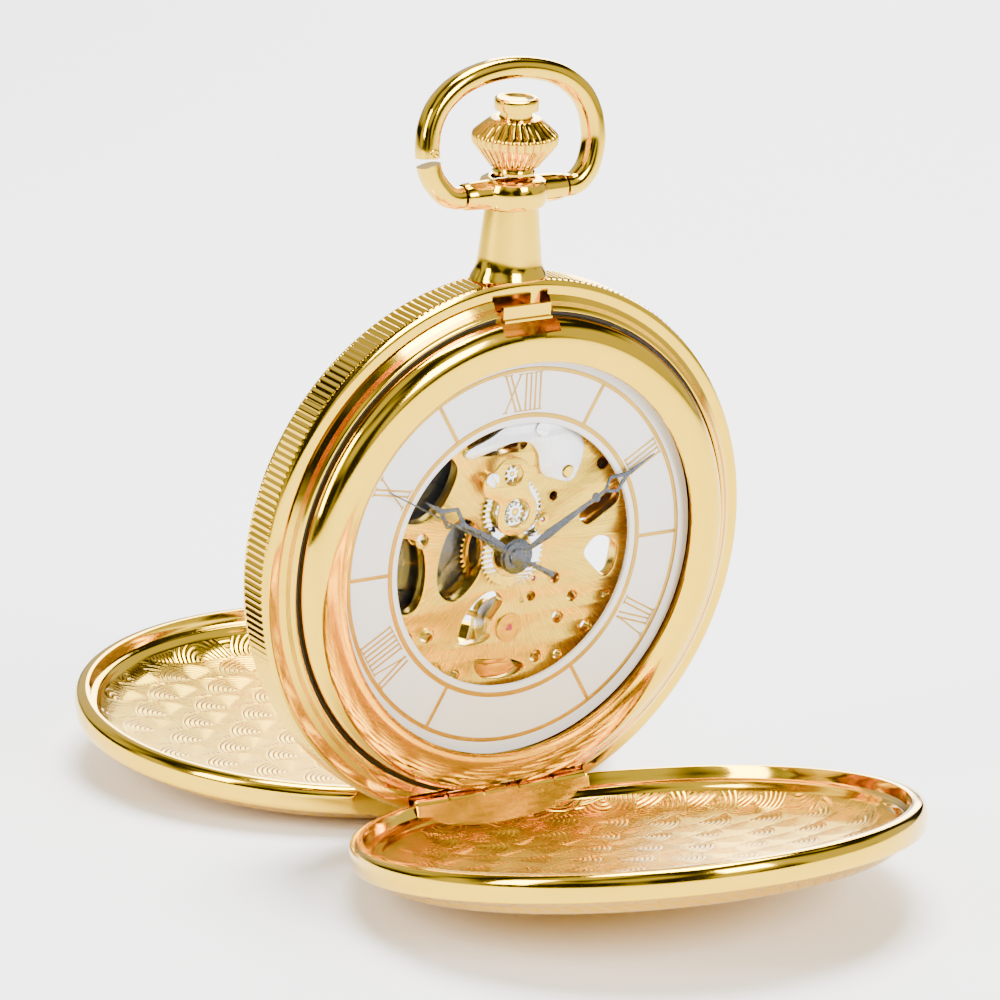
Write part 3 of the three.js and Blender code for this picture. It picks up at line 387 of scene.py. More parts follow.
def throughPoints(a, b, c, d, t):
    # a point between b and c on a smooth curve that also passes a and d
    square = 2 * a - 5 * b + 4 * c - d
    cubic = 3 * b - a - 3 * c + d
    return 0.5 * (2 * b + (c - a) * t + square * t * t + cubic * t ** 3)


def rounded(corners, steps=6):
    path = []
    n = len(corners)
    for i in range(n):
        a, b, c, d = (Vector(corners[(i + k) % n]) for k in (-1, 0, 1, 2))
        for s in range(steps):
            p = throughPoints(a, b, c, d, s / steps)
            path.append((p.x, p.y))
    return path


# heights are shares of the module, half widths are shares of one tooth's turn
tooth = {"tip": 0.75, "root": 1.05, "topHalf": 0.13, "footHalf": 0.27}


def toothed(teeth, module, toothAt, at=(0, 0)):
    pitch = teeth * module / 2
    tip = pitch + tooth["tip"] * module
    root = pitch - tooth["root"] * module
    top, foot = tooth["topHalf"], tooth["footHalf"]
    step = 2 * math.pi / teeth
    path = []
    for i in range(teeth):
        for radius, part in ((root, -foot), (tip, -top), (tip, top), (root, foot)):
            path.append(around(at, radius, toothAt + (i + part) * step))
    return path


def spokes(count, inner, outer, width, at=(0, 0), start=0.3):
    holes = []
    for i in range(count):
        middle = (i + 0.5) / count * 2 * math.pi + start
        path = []
        for radius, sign, steps in ((outer, 1, 12), (inner, -1, 6)):
            half = math.pi / count - width / 2 / radius
            for k in range(steps + 1):
                turn = middle + sign * (-half + 2 * half * k / steps)
                path.append(around(at, radius, turn))
        holes.append(path)
    return holes


def boxData(x0, x1, y0, y1, z0, z1):
    verts = [(x, y, z) for x in (x0, x1) for y in (y0, y1) for z in (z0, z1)]
    faces = [(0, 1, 3, 2), (4, 6, 7, 5), (0, 4, 5, 1), (2, 3, 7, 6), (0, 2, 6, 4), (1, 5, 7, 3)]
    return verts, faces


def rodProfile(radius, low, high, edge):
    inner = radius - edge
    return [(0, low), (inner, low), (radius, low + edge), (radius, high - edge), (inner, high), (0, high)]


def rodXData(radius, x0, x1, y, z, chamfer=0.08, steps=40):
    verts, faces = revolveData(rodProfile(radius, x0, x1, chamfer), steps)
    return [(h, y + a, z + b) for a, h, b in verts], faces


def turnPath(path, degrees):
    a = math.radians(degrees)
    return [(x * math.cos(a) + z * math.sin(a), -x * math.sin(a) + z * math.cos(a)) for x, z in path]


def shifted(path, at):
    return [(at[0] + x, at[1] + z) for x, z in path]


def cutBoxes(obj, *boxes):
    for box in boxes:
        cutter = makeObject("cutter", *boxData(*box), [])
        cut = obj.modifiers.new("cut", "BOOLEAN")
        cut.operation = "DIFFERENCE"
        cut.solver = "EXACT"
        cut.object = cutter
        bpy.context.view_layer.update()
        mesh = bpy.data.meshes.new_from_object(obj.evaluated_get(bpy.context.evaluated_depsgraph_get()))
        obj.modifiers.clear()
        obj.data = mesh
        bpy.data.objects.remove(cutter)
    obj.data.shade_smooth()
    obj.data.set_sharp_from_angle(angle=math.radians(32))


def cadLook(material, *names, bevel=0.05):
    for name in names:
        obj = frame["nodes"][name]
        obj.data.materials.clear()
        obj.data.materials.append(material)
        if bevel:
            edge = obj.modifiers.new("edge", "BEVEL")
            edge.width = bevel * 0.001
            edge.segments = 2
            edge.limit_method = "ANGLE"


# case band, bezels and crystals

band = {"reeds": 250, "depth": 0.15, "perReed": 6}


def reeded(turn, r, h, i):
    if r > 24.9 and abs(h) < 1.45:
        wave = 0.5 + 0.5 * math.cos(turn * band["reeds"])
        r -= band["depth"] * (1 - wave ** 0.8)
    return r, h


halfBand = [
    (22.4, 2.0), (24.3, 2.0), (24.62, 1.95), (24.85, 1.8), (24.93, 1.55),
    (24.95, 1.42), (25.02, 1.36), (25.02, 0.7),
]
bandProfile = [(r, -h) for r, h in halfBand] + halfBand[::-1]
caseBand = revolve("case_band_reeded", bandProfile, band["reeds"] * band["perReed"], caseGold, reeded)
# half widths of the gaps left for the hinges, the latch and the lift spring
gap = {"hinge": 9.3, "latch": 2.9, "spring": 1.15}


def gapBox(name, y0, y1, z0, z1):
    return (-gap[name], gap[name], y0, y1, z0, z1)


hingeFront = gapBox("hinge", -3.5, -1.55, -26, -21.7)
hingeBack = gapBox("hinge", 1.55, 3.5, -26, -21.7)
cutBoxes(caseBand, hingeFront, hingeBack, gapBox("latch", -2.5, -1.45, 20.8, 24.0))
settle(caseBand, "case", "case_gold", "case_band")

knuckle = {
    "spans": ((-9.0, -5.6), (-1.8, 1.8), (5.6, 9.0)),
    "near": 1.4, "far": 2.3, "low": -23.1, "high": -22.5,
}
knucklePlaces = [(x0, x1, side) for x0, x1 in knuckle["spans"] for side in (-1, 1)]
knuckles = []
for x0, x1, side in knucklePlaces:
    knuckles.append(rodXData(hinge["radius"], x0, x1, side * hinge["y"], hinge["z"]))
for x0, x1, side in knucklePlaces:
    y0, y1 = sorted((side * knuckle["near"], side * knuckle["far"]))
    knuckles.append(boxData(x0, x1, y0, y1, knuckle["low"], knuckle["high"]))
piece("case_knuckles", knuckles, caseGold, "case", "case_gold")

bezel = {"grooves": 4, "pitch": 0.09, "fall": 0.055, "deep": 0.05}
bezelProfile = [(19.3, -2.05), (23.55, -2.05), (23.62, -2.1), (23.6, -2.25)]
for g in range(bezel["grooves"]):
    r0 = 23.12 - g * bezel["pitch"]
    h0 = -2.55 - g * bezel["fall"]
    bottom = h0 + bezel["deep"]
    bezelProfile += [(r0, h0), (r0 - 0.015, bottom), (r0 - 0.035, bottom), (r0 - 0.05, h0 - 0.03)]
bezelProfile += [
    (22.74, -2.78), (22.6, -2.92), (22.45, -3.0), (22.37, -3.0), (22.33, -2.95), (22.32, -2.5),
    (22.0, -2.5), (21.97, -3.0), (21.93, -3.35), (21.8, -3.7), (21.55, -4.05), (21.2, -4.33),
    (20.8, -4.53), (20.3, -4.66), (19.8, -4.7), (19.3, -4.68), (18.85, -4.6), (18.5, -4.5),
    (18.3, -4.46), (18.15, -4.46), (18.1, -4.4), (18.1, -4.33), (18.75, -4.33), (18.75, -2.7),
    (19.3, -2.7),
]
frontBezel = revolve("front_bezel_domed", bezelProfile, 256, caseGold)
latchCut = gapBox("latch", -6, -1, 20.75, 24.6)
hingeCut = gapBox("hinge", -6, -1, -26, -21.3)
cutBoxes(frontBezel, latchCut, hingeCut, gapBox("spring", -6, -1, -22, -20.8))
settle(frontBezel, "case", "case_gold", "front_bezel")
# a dark ring painted as the shadow at the bottom of the groove round the dome
grooveProfile = [(22.01, -2.8), (22.31, -2.8), (22.31, -2.52), (22.01, -2.52)]
grooveShadow = revolve("groove_shadow", grooveProfile, 200, grooveShadeGold)
cutBoxes(grooveShadow, latchCut, hingeCut)
settle(grooveShadow, "case", "case_gold")

rearProfile = [
    (18.6, 2.05), (23.55, 2.05), (23.62, 2.1), (23.5, 2.3), (22.4, 2.85), (22.2, 2.95), (21.9, 3.3),
    (21.3, 3.55), (20.6, 3.68), (19.8, 3.66), (18.9, 3.55), (18.7, 3.5), (18.7, 3.42), (19.3, 3.42),
    (19.3, 2.95), (18.6, 2.95),
]
rearBezel = revolve("rear_bezel_domed", rearProfile, 160, caseGold)
cutBoxes(rearBezel, gapBox("hinge", 1, 6, -26, -21.3))
settle(rearBezel, "case", "case_gold", "rear_bezel")


def domePoints(radius, edge, middle, steps):
    return [(radius * i / steps, middle + (edge - middle) * (i / steps) ** 2) for i in range(steps + 1)]


crystal = domePoints(18.05, -4.3, -4.75, 14) + [(18.7, -4.3), (18.7, -3.87)]
crystal += domePoints(18.0, -3.87, -4.3, 14)[::-1]
settle(revolve("front_crystal_dome", crystal, 160, glass), "case", "glass", "front_crystal")
rearDisc = [(0, 3.0), (19.25, 3.0), (19.25, 3.38), (18.6, 3.38), (12, 3.45), (0, 3.5)]
settle(revolve("rear_crystal_disc", rearDisc, 120, glass), "case", "glass", "rear_crystal")
cadLook(cadGold, "front_hinge_pin", "back_hinge_pin", bevel=0)
cadLook(cadGold, "latch", bevel=0.12)
cadLook(cadSatin, "lift_spring", bevel=0.12)
cadLook(cadGilt, "movement_ring", "dial_spacer", bevel=0)
print("case ready")

# covers

cover = {
    "rim": -2.1, "columns": 1080, "leaves": 84, "domeLeaves": 60, "relief": 0.17,
    "sideBand": (22.65, 24.75), "domeBand": (16.6, 21.5), "floorRadius": 22.7,
}
leafPanel = {
    "half": 9.1, "foot": -5.2, "top": -2.28, "low": -22.02, "high": -21.62,
    "spans": ((-5.5, -1.9), (1.9, 5.5)),
}


def laurel(along, across):
    # a stem with slanting leaves on both sides; across runs from -1 to 1
    a = abs(across)
    part = (along - 0.55 * a) % 1.0
    leaf = max(0.0, math.sin(math.pi * part)) ** 0.7 * (1 - a ** 4) * min(1.0, a / 0.14)
    return leaf + 0.55 * math.exp(-(across / 0.1) ** 2)


def coverProfile():
    # radius, depth under the rim, and which leaf band the point belongs to
    points = [
        (0, 4.95, 0), (2.5, 4.95, 0), (5, 4.95, 0), (8, 4.92, 0), (11, 4.88, 0), (14, 4.77, 0),
        (16.2, 4.65, 0),
    ]
    for k in range(17):
        t = k / 16
        depth = 4.62 - 0.6 * t - 0.06 * math.sin(math.pi * t)
        points.append((16.6 + 4.9 * t, depth, 2 if 0 < k < 16 else 0))
    points += [(21.75, 3.97, 0), (22.05, 3.86, 0), (22.35, 3.8, 0), (22.5, 3.72, 0)]
    for k in range(15):
        t = k / 14
        depth = 3.66 - 1.38 * t - 0.12 * math.sin(math.pi * t) + 0.2 * t * t
        points.append((22.65 + 2.1 * t, depth, 1 if 0 < k < 14 else 0))
    points += [
        (24.85, 2.42, 0), (24.92, 2.3, 0), (25.02, 1.9, 0), (25.08, 1.5, 0), (25.1, 1.1, 0),
        (25.06, 0.75, 0), (24.97, 0.45, 0), (24.8, 0.2, 0), (24.5, 0.06, 0), (24.2, 0.02, 0),
        (23.95, 0.02, 0), (23.8, 0.06, 0), (23.76, 0.16, 0), (23.66, 0.7, 0), (23.55, 1.1, 0),
        (23.3, 1.24, 0), (23.1, 1.28, 0), (22.95, 1.4, 0), (22.85, 1.75, 0), (22.6, 2.1, 0),
        (22.0, 2.6, 0), (21.0, 3.2, 0), (19, 3.5, 0), (17, 3.75, 0), (15, 3.95, 0), (12, 4.08, 0),
        (8, 4.2, 0), (4, 4.28, 0), (0, 4.3, 0),
    ]
    return points


def makeCover(side):
    points = coverProfile()
    bands = {1: (*cover["sideBand"], cover["leaves"]), 2: (*cover["domeBand"], cover["domeLeaves"])}

    def relief(turn, r, h, i):
        kind = points[i][2]
        if kind:
            low, high, leaves = bands[kind]
            across = (r - low) / (high - low) * 2 - 1
            lift = cover["relief"] * laurel(turn / (2 * math.pi) * leaves, across) - 0.04
            h -= lift * (0.55 if kind == 1 else 0.9)
            r += lift * (0.8 if kind == 1 else 0.1)
        return r, h

    profile = [(r, cover["rim"] - t) for r, t, kind in points]
    verts, faces = revolveData(profile, cover["columns"], relief)
    verts = [(x, y, max(z, hinge["chord"])) for x, y, z in verts]

    def floorSide(centre):
        # the inner floor is engine turned; everything else is polished
        r = math.hypot(centre.x, centre.z)
        depth = cover["rim"] - centre.y
        return 1 if r < cover["floorRadius"] and depth < 4.6 - 0.0026 * r * r else 0

    body = "front_lid" if side == "front" else "back_lid"
    finishes = [caseGold, turnedGold]
    place = coverPlace(side)
    shell = makeObject(
        side + "_cover_shell", verts, faces, finishes, place=place, sharp=38,
        faceMaterial=floorSide,
    )
    settle(shell, body, "case_gold", side + "_cover")
    half, foot, top, low, high = (leafPanel[k] for k in ("half", "foot", "top", "low", "high"))
    extras = [boxData(-half, half, foot, top, low, high)]
    for x0, x1 in leafPanel["spans"]:
        extras.append(rodXData(hinge["radius"], x0, x1, -hinge["y"], hinge["z"]))
        extras.append(boxData(x0, x1, -3.25, -2.5, -22.55, -21.9))
    piece(side + "_hinge_leaf", extras, caseGold, body, "case_gold", place=place)


makeCover("front")
makeCover("back")
print("covers ready")

# pendant, bow and crown

# the foot is shaped round the case, just clear of a shut cover
neckShape = {"flatness": 0.82, "footRadius": 25.14}
neckPlace = casePlace @ Matrix.Diagonal((1, neckShape["flatness"], 1, 1))
neckProfile = [
    (0, 24.2), (3.6, 24.2), (3.55, 25.0), (3.42, 25.35), (3.2, 25.75), (3.05, 26.2), (2.96, 27.0),
    (2.8, 28.5), (2.62, 30.2), (2.5, 31.25), (2.3, 31.35), (2.0, 31.36), (2.0, 33.4), (0, 33.4),
]
neckVerts, neckFaces = revolveData(neckProfile, 96, axis="Z")
neckVerts = [(x, y, max(z, math.sqrt(neckShape["footRadius"] ** 2 - x * x))) for x, y, z in neckVerts]
neck = makeObject("pendant_neck_cone", neckVerts, neckFaces, caseGold, place=neckPlace)
settle(neck, "case", "case_gold", "pendant_neck")


def collarData():
    ringProfile = [
        (2.0, 31.4), (2.6, 31.4), (2.9, 31.6), (3.05, 32.0), (3.12, 32.6), (3.05, 33.2),
        (2.85, 33.65), (2.5, 33.85), (2.0, 33.9),
    ]
    ringPart = revolveData(ringProfile, 96, axis="Z")
    barProfile = [
        (0, -5.2), (1.0, -5.2), (1.14, -5.15), (1.22, -5.0), (1.28, -4.0), (1.36, -2.0), (1.4, 0),
        (1.36, 2.0), (1.28, 4.0), (1.22, 5.0), (1.14, 5.15), (1.0, 5.2), (0, 5.2),
    ]
    verts, faces = revolveData(barProfile, 64)
    barPart = ([(h, a, 32.55 + b * 0.97) for a, h, b in verts], faces)
    return gather([ringPart, barPart])


piece("bow_collar_saddle", [collarData()], caseGold, "case", "case_gold", "bow_collar")

bowPivot = Vector((0, 0, 32.55))
bowBar = {"wide": 1.0, "deep": 1.12, "squareness": 0.82, "sides": 36, "lean": -8}
bowPlace = casePlace @ Matrix.Translation(bowPivot) @ Matrix.Rotation(math.radians(bowBar["lean"]), 4, "X")
bowPlace = bowPlace @ Matrix.Translation(-bowPivot)


def curvePoint(points, t):
    n = len(points) - 1
    i = min(int(t * n), n - 1)
    s = t * n - i
    a, b, c, d = points[max(i - 1, 0)], points[i], points[i + 1], points[min(i + 2, n)]
    a, b, c, d = (Vector(p) for p in (a, b, c, d))
    return throughPoints(a, b, c, d, s)


def bowBarData(points, steps):
    wide, deep, squareness, sides = (bowBar[k] for k in ("wide", "deep", "squareness", "sides"))
    verts = []
    faces = []
    for k in range(steps + 1):
        t = k / steps
        here = curvePoint(points, t)
        ahead = curvePoint(points, min(1, t + 0.004)) - curvePoint(points, max(0, t - 0.004))
        ahead.normalize()
        out = Vector((-ahead.y, ahead.x))
        for s in range(sides):
            turn = 2 * math.pi * s / sides
            a = math.copysign(abs(math.cos(turn)) ** squareness, math.cos(turn)) * wide
            b = math.copysign(abs(math.sin(turn)) ** squareness, math.sin(turn)) * deep
            verts.append((here.x + out.x * a, b, here.y + out.y * a))
    for k in range(steps):
        for s in range(sides):
            n = (s + 1) % sides
            faces.append((k * sides + s, k * sides + n, (k + 1) * sides + n, (k + 1) * sides + s))
    faces.append(tuple(range(sides))[::-1])
    faces.append(tuple(steps * sides + s for s in range(sides)))
    return verts, faces


bowArch = [(8.55, 37.4), (8.2, 39.1), (7.2, 40.8), (5.3, 42.25), (2.8, 43.1)]
bowPoints = [(5.38, 32.55), (6.1, 32.6), (6.95, 33.0), (7.9, 34.1), (8.5, 35.9), *bowArch, (0, 43.4)]
bowPoints += [(-x, z) for x, z in bowArch[::-1]] + [(-8.56, 36.35)]
gatePoints = [(-8.5, 35.7), (-8.33, 34.95), (-7.9, 34.1), (-6.95, 33.0), (-6.1, 32.6), (-5.42, 32.55)]
piece(
    "bow_loop_bar", [bowBarData(bowPoints, 110)], caseGold, "bow_loop", "case_gold", "bow",
    place=bowPlace,
)
piece(
    "bow_gate_bar", [bowBarData(gatePoints, 36)], caseGold, "gate", "case_gold", "bow_gate",
    place=bowPlace,
)
rivetAt = (-8.5, 36.75)
rivetHead = flatData(circle(0.46, *rivetAt), [circle(0.2, *rivetAt, 16)], -1.22, 1.22, 0.06)
piece("gate_rivet_heads", [rivetHead], caseGold, "bow_loop", "case_gold", "gate_rivet", place=bowPlace)

crown = {"flutes": 30, "deep": 0.24, "low": 34.95, "high": 39.2}


def fluted(turn, r, h, i):
    if crown["low"] < h < crown["high"] and r > 2.0:
        amount = min(1.0, (h - crown["low"]) / 0.5, (crown["high"] - h) / 0.4) * min(1.0, (r - 1.9) / 1.1)
        wave = abs(math.cos(turn * crown["flutes"] / 2))
        r -= crown["deep"] * amount * (1 - wave ** 0.55) * 1.3
    return r, h


crownProfile = [
    (0, 34.25), (1.7, 34.25), (1.85, 34.32), (1.88, 34.5), (1.75, 34.66), (1.72, 34.86),
    (2.1, 34.96), (2.25, 35.05),
]
crownProfile += [(2.25 + 1.45 * k / 6, 35.05 + 1.85 * k / 6) for k in range(1, 7)]
crownProfile += [(3.78, 37.02), (3.82, 37.2), (3.82, 37.65), (3.78, 37.82), (3.68, 37.95)]
crownProfile += [(3.68 - 1.35 * k / 5, 37.95 + 1.15 * k / 5) for k in range(1, 6)]
crownProfile += [(2.2, 39.22), (1.52, 39.26), (1.52, 37.6), (0, 37.6)]
flutedCrown = revolve(
    "crown_fluted", crownProfile, crown["flutes"] * 12, caseGold, fluted, axis="Z", sharp=40,
)
settle(flutedCrown, "crown_and_stem", "case_gold", "crown")
buttonProfile = [
    (0, 38.8), (1.42, 38.8), (1.42, 39.9), (1.8, 39.92), (1.93, 39.98), (1.97, 40.1), (1.97, 40.75),
    (1.93, 40.92), (1.8, 41.02), (1.62, 41.04), (1.45, 41.0), (1.0, 40.86), (0.5, 40.8), (0, 40.78),
]
settle(
    revolve("crown_button_cap", buttonProfile, 96, caseGold, axis="Z"), "button", "case_gold",
    "crown_button",
)
cadLook(cadSteel, "winding_stem", "sliding_pinion", bevel=0)
print("crown ready")

# dial

dialProfile = [(12.2, -3.12), (12.28, -3.2), (18.5, -3.2), (18.55, -3.15), (18.55, -2.8), (12.2, -2.8)]
settle(revolve("dial_ring", dialProfile, 240, white), "case", "dial_white", "dial")

numeral = {"inner": 13.42, "outer": 16.82, "line": 0.13, "front": -3.262, "back": -3.2}
letterWidth = {"I": 0.98, "V": 1.95, "X": 2.15}


def strokeBox(x0, z0, x1, z1, wide):
    along = Vector((x1 - x0, z1 - z0)).normalized()
    side = Vector((-along.y, along.x)) * (wide / 2)
    dx, dz = side
    corners = [(x0 + dx, z0 + dz), (x1 + dx, z1 + dz), (x1 - dx, z1 - dz), (x0 - dx, z0 - dz)]
    return flatData(corners, [], numeral["front"], numeral["back"], 0.012)


def letterStrokes(letter, middle):
    low, high, line = numeral["inner"], numeral["outer"], numeral["line"]
    strokes = []

    def serif(x, z, half):
        strokes.append((middle + x - half, z, middle + x + half, z, line * 0.75))

    def thick(x0, x1):
        for side in (-0.25, 0.25):
            strokes.append((middle + x0 + side, low, middle + x1 + side, high, line * 1.25))

    def thin(x0, x1):
        strokes.append((middle + x0, low, middle + x1, high, line))

    if letter == "I":
        thick(0, 0)
        serif(0, low, 0.44)
        serif(0, high, 0.44)
    elif letter == "V":
        thick(0.02, -0.62)
        thin(0.16, 0.72)
        serif(-0.62, high, 0.46)
        serif(0.72, high, 0.24)
    else:
        thick(0.6, -0.6)
        thin(-0.78, 0.74)
        serif(-0.6, high, 0.46)
        serif(0.74, high, 0.24)
        serif(0.6, low, 0.46)
        serif(-0.78, low, 0.24)
    return strokes


def numeralParts(word, hour):
    widths = [letterWidth[c] for c in word]
    at = -sum(widths) / 2
    parts = []
    for letter, width in zip(word, widths):
        for x0, z0, x1, z1, wide in letterStrokes(letter, at + width / 2):
            (ax, az), (bx, bz) = turnPath([(x0, z0), (x1, z1)], hour * 30)
            parts.append(strokeBox(ax, az, bx, bz, wide))
        at += width
    return parts


for word, hour in (("XII", 12), ("II", 2), ("IV", 4), ("VIII", 8), ("X", 10)):
    piece("numeral_" + word.lower(), numeralParts(word, hour), markGold, "case", "case_gold")

frameParts = []
for inner, outer in ((12.75, 13.2), (17.0, 17.4)):
    ringProfile = [(inner, -3.205), (inner + 0.03, -3.26), (inner + 0.07, -3.27)]
    ringProfile += [(outer - 0.07, -3.27), (outer - 0.03, -3.26), (outer, -3.205)]
    frameParts.append(revolveData(ringProfile, 200))
for hour in (1, 3, 5, 7, 9, 11):
    bar = turnPath([(-0.17, 13.05), (0.17, 13.05), (0.17, 17.15), (-0.17, 17.15)], hour * 30)
    frameParts.append(flatData(bar, [], -3.27, -3.2, 0.025))
piece("dial_frame_lines", frameParts, markGold, "case", "case_gold", "dial_frame")

# hands


def mirrored(points):
    return points + [(-x, z) for x, z in points[::-1]]


def hand(name, node, body, degrees, y0, y1, outline, holes, hub, bore, low=()):
    openings = [turnPath(mirrored(h), degrees) for h in holes]
    parts = [flatData(turnPath(mirrored(outline), degrees), openings, y0, y1, 0.035)]
    parts += [flatData(turnPath(path, degrees), [], y0 + 0.004, y1 - 0.004, 0.03) for path in low]
    parts.append(flatData(circle(hub, steps=64), [circle(bore, steps=40)], y0 - 0.012, y1, 0.045))
    piece(name, parts, handSteel, body, "blued_steel", node, sharp=25)


handSteel = polished("blued_hand", (0.105, 0.115, 0.13), (0.05, 0.055, 0.065), 0.26, 0.8)
# outlines are the right half of a hand that points to twelve
hourOutline = [(0.32, 1.3), (0.5, 3.0), (0.24, 6.2), (0.24, 6.75), (1.1, 8.25), (0.3, 9.6), (0.05, 11.6)]
hourOpening = [(0.02, 7.2), (0.72, 8.25), (0.02, 9.25)]
hand("hour_hand_open", "hour_hand", "hours", 303, -3.52, -3.38, hourOutline, [hourOpening], 1.65, 1.17)
minuteOutline = [
    (0.2, 1.1), (0.44, 3.6), (0.17, 8.9), (0.15, 10.2), (0.96, 11.3), (0.24, 12.9), (0.04, 16.1),
]
minuteOpening = [(0.02, 10.5), (0.6, 11.32), (0.02, 12.5)]
knob = [(0.48 * math.cos(k * math.pi / 8), 9.22 + 0.42 * math.sin(k * math.pi / 8)) for k in range(16)]
hand(
    "minute_hand_open", "minute_hand", "minutes", 61, -3.74, -3.6, minuteOutline, [minuteOpening],
    1.45, 0.77, [knob],
)
needle = [(0.11, 0.3), (0.06, 16.0)]
tail = [(-0.3, -4.4), (0.3, -4.4), (0.16, -0.4), (-0.16, -0.4)]
hand("second_hand_needle", "second_hand", "seconds", 299.8, -3.92, -3.82, needle, [], 0.82, 0.17, [tail])
capProfile = [(0, -3.97), (0.3, -3.965), (0.42, -3.94), (0.46, -3.9), (0.46, -3.84), (0, -3.84)]
settle(revolve("centre_cap", capProfile, 40, handSteel), "seconds", "blued_steel")
print("dial and hands ready")

# movement, dial side

# pivots and screws of the movement, seen from the dial
minuteAt = (0.08, 3.91)
settingAt = (-0.43, 7.52)
minuteScrewAt = (-2.72, 7.35)
leverPivot = (5.8, 6.8)
leverScrewAt = (2.9, 11.2)
barrelAt = (-8.9, 2.2)
thirdAt = (3.6, 2.52)
escapeAt = (2.9, -2.93)
balanceAt = (0.5, -7.2)
# openings through the main plate, then its round holes with their radii
plateWindows = [
    [
        (-8.3, 9.1), (-6.6, 9.6), (-5.6, 8.3), (-6.3, 6.2), (-7.6, 4.6), (-9.2, 3.9), (-11.0, 4.4),
        (-10.4, 6.6),
    ],
    [
        (-12.6, 2.4), (-10.2, 2.5), (-8.9, 1.4), (-8.5, -1.0), (-8.9, -3.4), (-10.0, -4.4),
        (-11.6, -3.8), (-12.8, -1.0),
    ],
    [
        (-6.4, 2.2), (-5.0, 3.6), (-3.4, 3.0), (-2.7, 1.5), (-2.5, -0.6), (-3.4, -2.5),
        (-5.3, -3.9), (-6.9, -3.0), (-7.2, -0.6),
    ],
    [
        (-1.2, -3.6), (-2.7, -4.1), (-4.3, -5.9), (-4.6, -8.0), (-3.0, -8.3), (-1.5, -7.9),
        (-1.25, -6.2), (-0.2, -4.6),
    ],
    [(-2.9, -9.9), (-1.0, -10.1), (0.9, -10.3), (2.4, -11.2), (0.6, -11.9), (-2.2, -11.5)],
    [(8.3, -1.2), (9.2, -2.6), (10.6, -3.8), (11.6, -2.8), (11.6, -0.8), (9.7, 0.1)],
    [(7.6, 2.4), (9.6, 3.6), (11.4, 4.6), (11.6, 3.2), (9.8, 2.0), (8.4, 1.4)],
    [
        (-4.9, 11.0), (-2.6, 12.2), (-1.6, 14.6), (1.6, 14.6), (1.7, 12.0), (1.5, 9.6), (-0.4, 9.2),
        (-3.4, 9.4),
    ],
]
plateHoles = [
    (2.8, -4.6, 0.45), (5.2, -3.2, 0.5), (5.75, -7.0, 0.55), (8.8, -8.3, 0.6), (7.2, -5.2, 0.5),
    (4.6, 4.6, 0.45), (-11.2, -6.2, 0.75), (-8.0, -6.7, 0.7), (-7.2, -10.2, 0.7),
    (3.6, -10.4, 0.55), (9.8, 7.0, 0.6), (10.9, -5.6, 0.42), (-9.6, -8.9, 0.4), (-4.9, -10.9, 0.45),
    (6.0, -10.6, 0.5), (-9.9, -6.6, 0.3), (3.1, 3.9, 0.3),
]


def angleTo(a, b):
    return math.atan2(b[1] - a[1], b[0] - a[0])


def span(a, b):
    return math.hypot(b[0] - a[0], b[1] - a[1])


palletTurn = angleTo(escapeAt, balanceAt)
palletAt = around(escapeAt, 2.2, palletTurn)


def sleeve(at, inner, outer, y0, y1, edge=0.05, steps=48):
    profile = [
        (inner, y0 + edge), (inner + edge, y0), (outer - edge, y0), (outer, y0 + edge), (outer, y1),
        (inner, y1),
    ]
    return revolveData(profile, steps, centre=at)


def pin(at, radius, y0, y1, edge=0.05, steps=32):
    return revolveData(rodProfile(radius, y0, y1, edge), steps, centre=at)


plateHolePaths = [rounded(path, 8) for path in plateWindows]
plateHolePaths += [circle(r, x, z, 28) for x, z, r in plateHoles]
plateHolePaths += [
    circle(0.52, 0, 0), circle(0.85, *balanceAt), circle(0.62, *barrelAt),
    circle(0.32, *minuteScrewAt, 20),
]
plateHolePaths += [circle(0.2, *at, 16) for at in (thirdAt, escapeAt, palletAt)]
plate = {"radius": 18.4, "front": -1.9, "back": -0.7, "bevel": 0.1}
plateRim = circle(plate["radius"], steps=160)
mainParts = [flatData(plateRim, plateHolePaths, plate["front"], plate["back"], plate["bevel"])]


def plateSide(centre):
    # the dial side has the sunburst, the edges and the back are plain
    return 0 if centre.y < plate["front"] + 0.005 else 1


mainPlate = makeObject(
    "main_plate_pierced", *gather(mainParts), [plateGold, wheelGold], sharp=30,
    faceMaterial=plateSide,
)
settle(mainPlate, "case", "movement_gold", "main_plate")
studs = [
    pin(minuteAt, 0.3, -2.75, -1.85), pin(settingAt, 0.2, -2.75, -1.85, 0.03),
    pin(leverPivot, 0.55, -2.42, -1.85, 0.08),
]
piece("plate_studs", studs, wheelGold, "case", "movement_gold")
collars = [sleeve((x, z), r * 0.98, r * 1.28, -1.98, -1.88, 0.04) for x, z, r in plateHoles[1:6:2]]
collars += [sleeve(at, 0.2, 0.62, -2.0, -1.88, 0.05) for at in (thirdAt, escapeAt)]
piece("hole_collars", collars, wheelGold, "case", "movement_gold")
jewels = [sleeve(at, 0.14, 0.46, -1.98, -1.86, 0.08) for at in (thirdAt, escapeAt)]
piece("train_jewels_front", jewels, ruby, "case", "movement_gold")

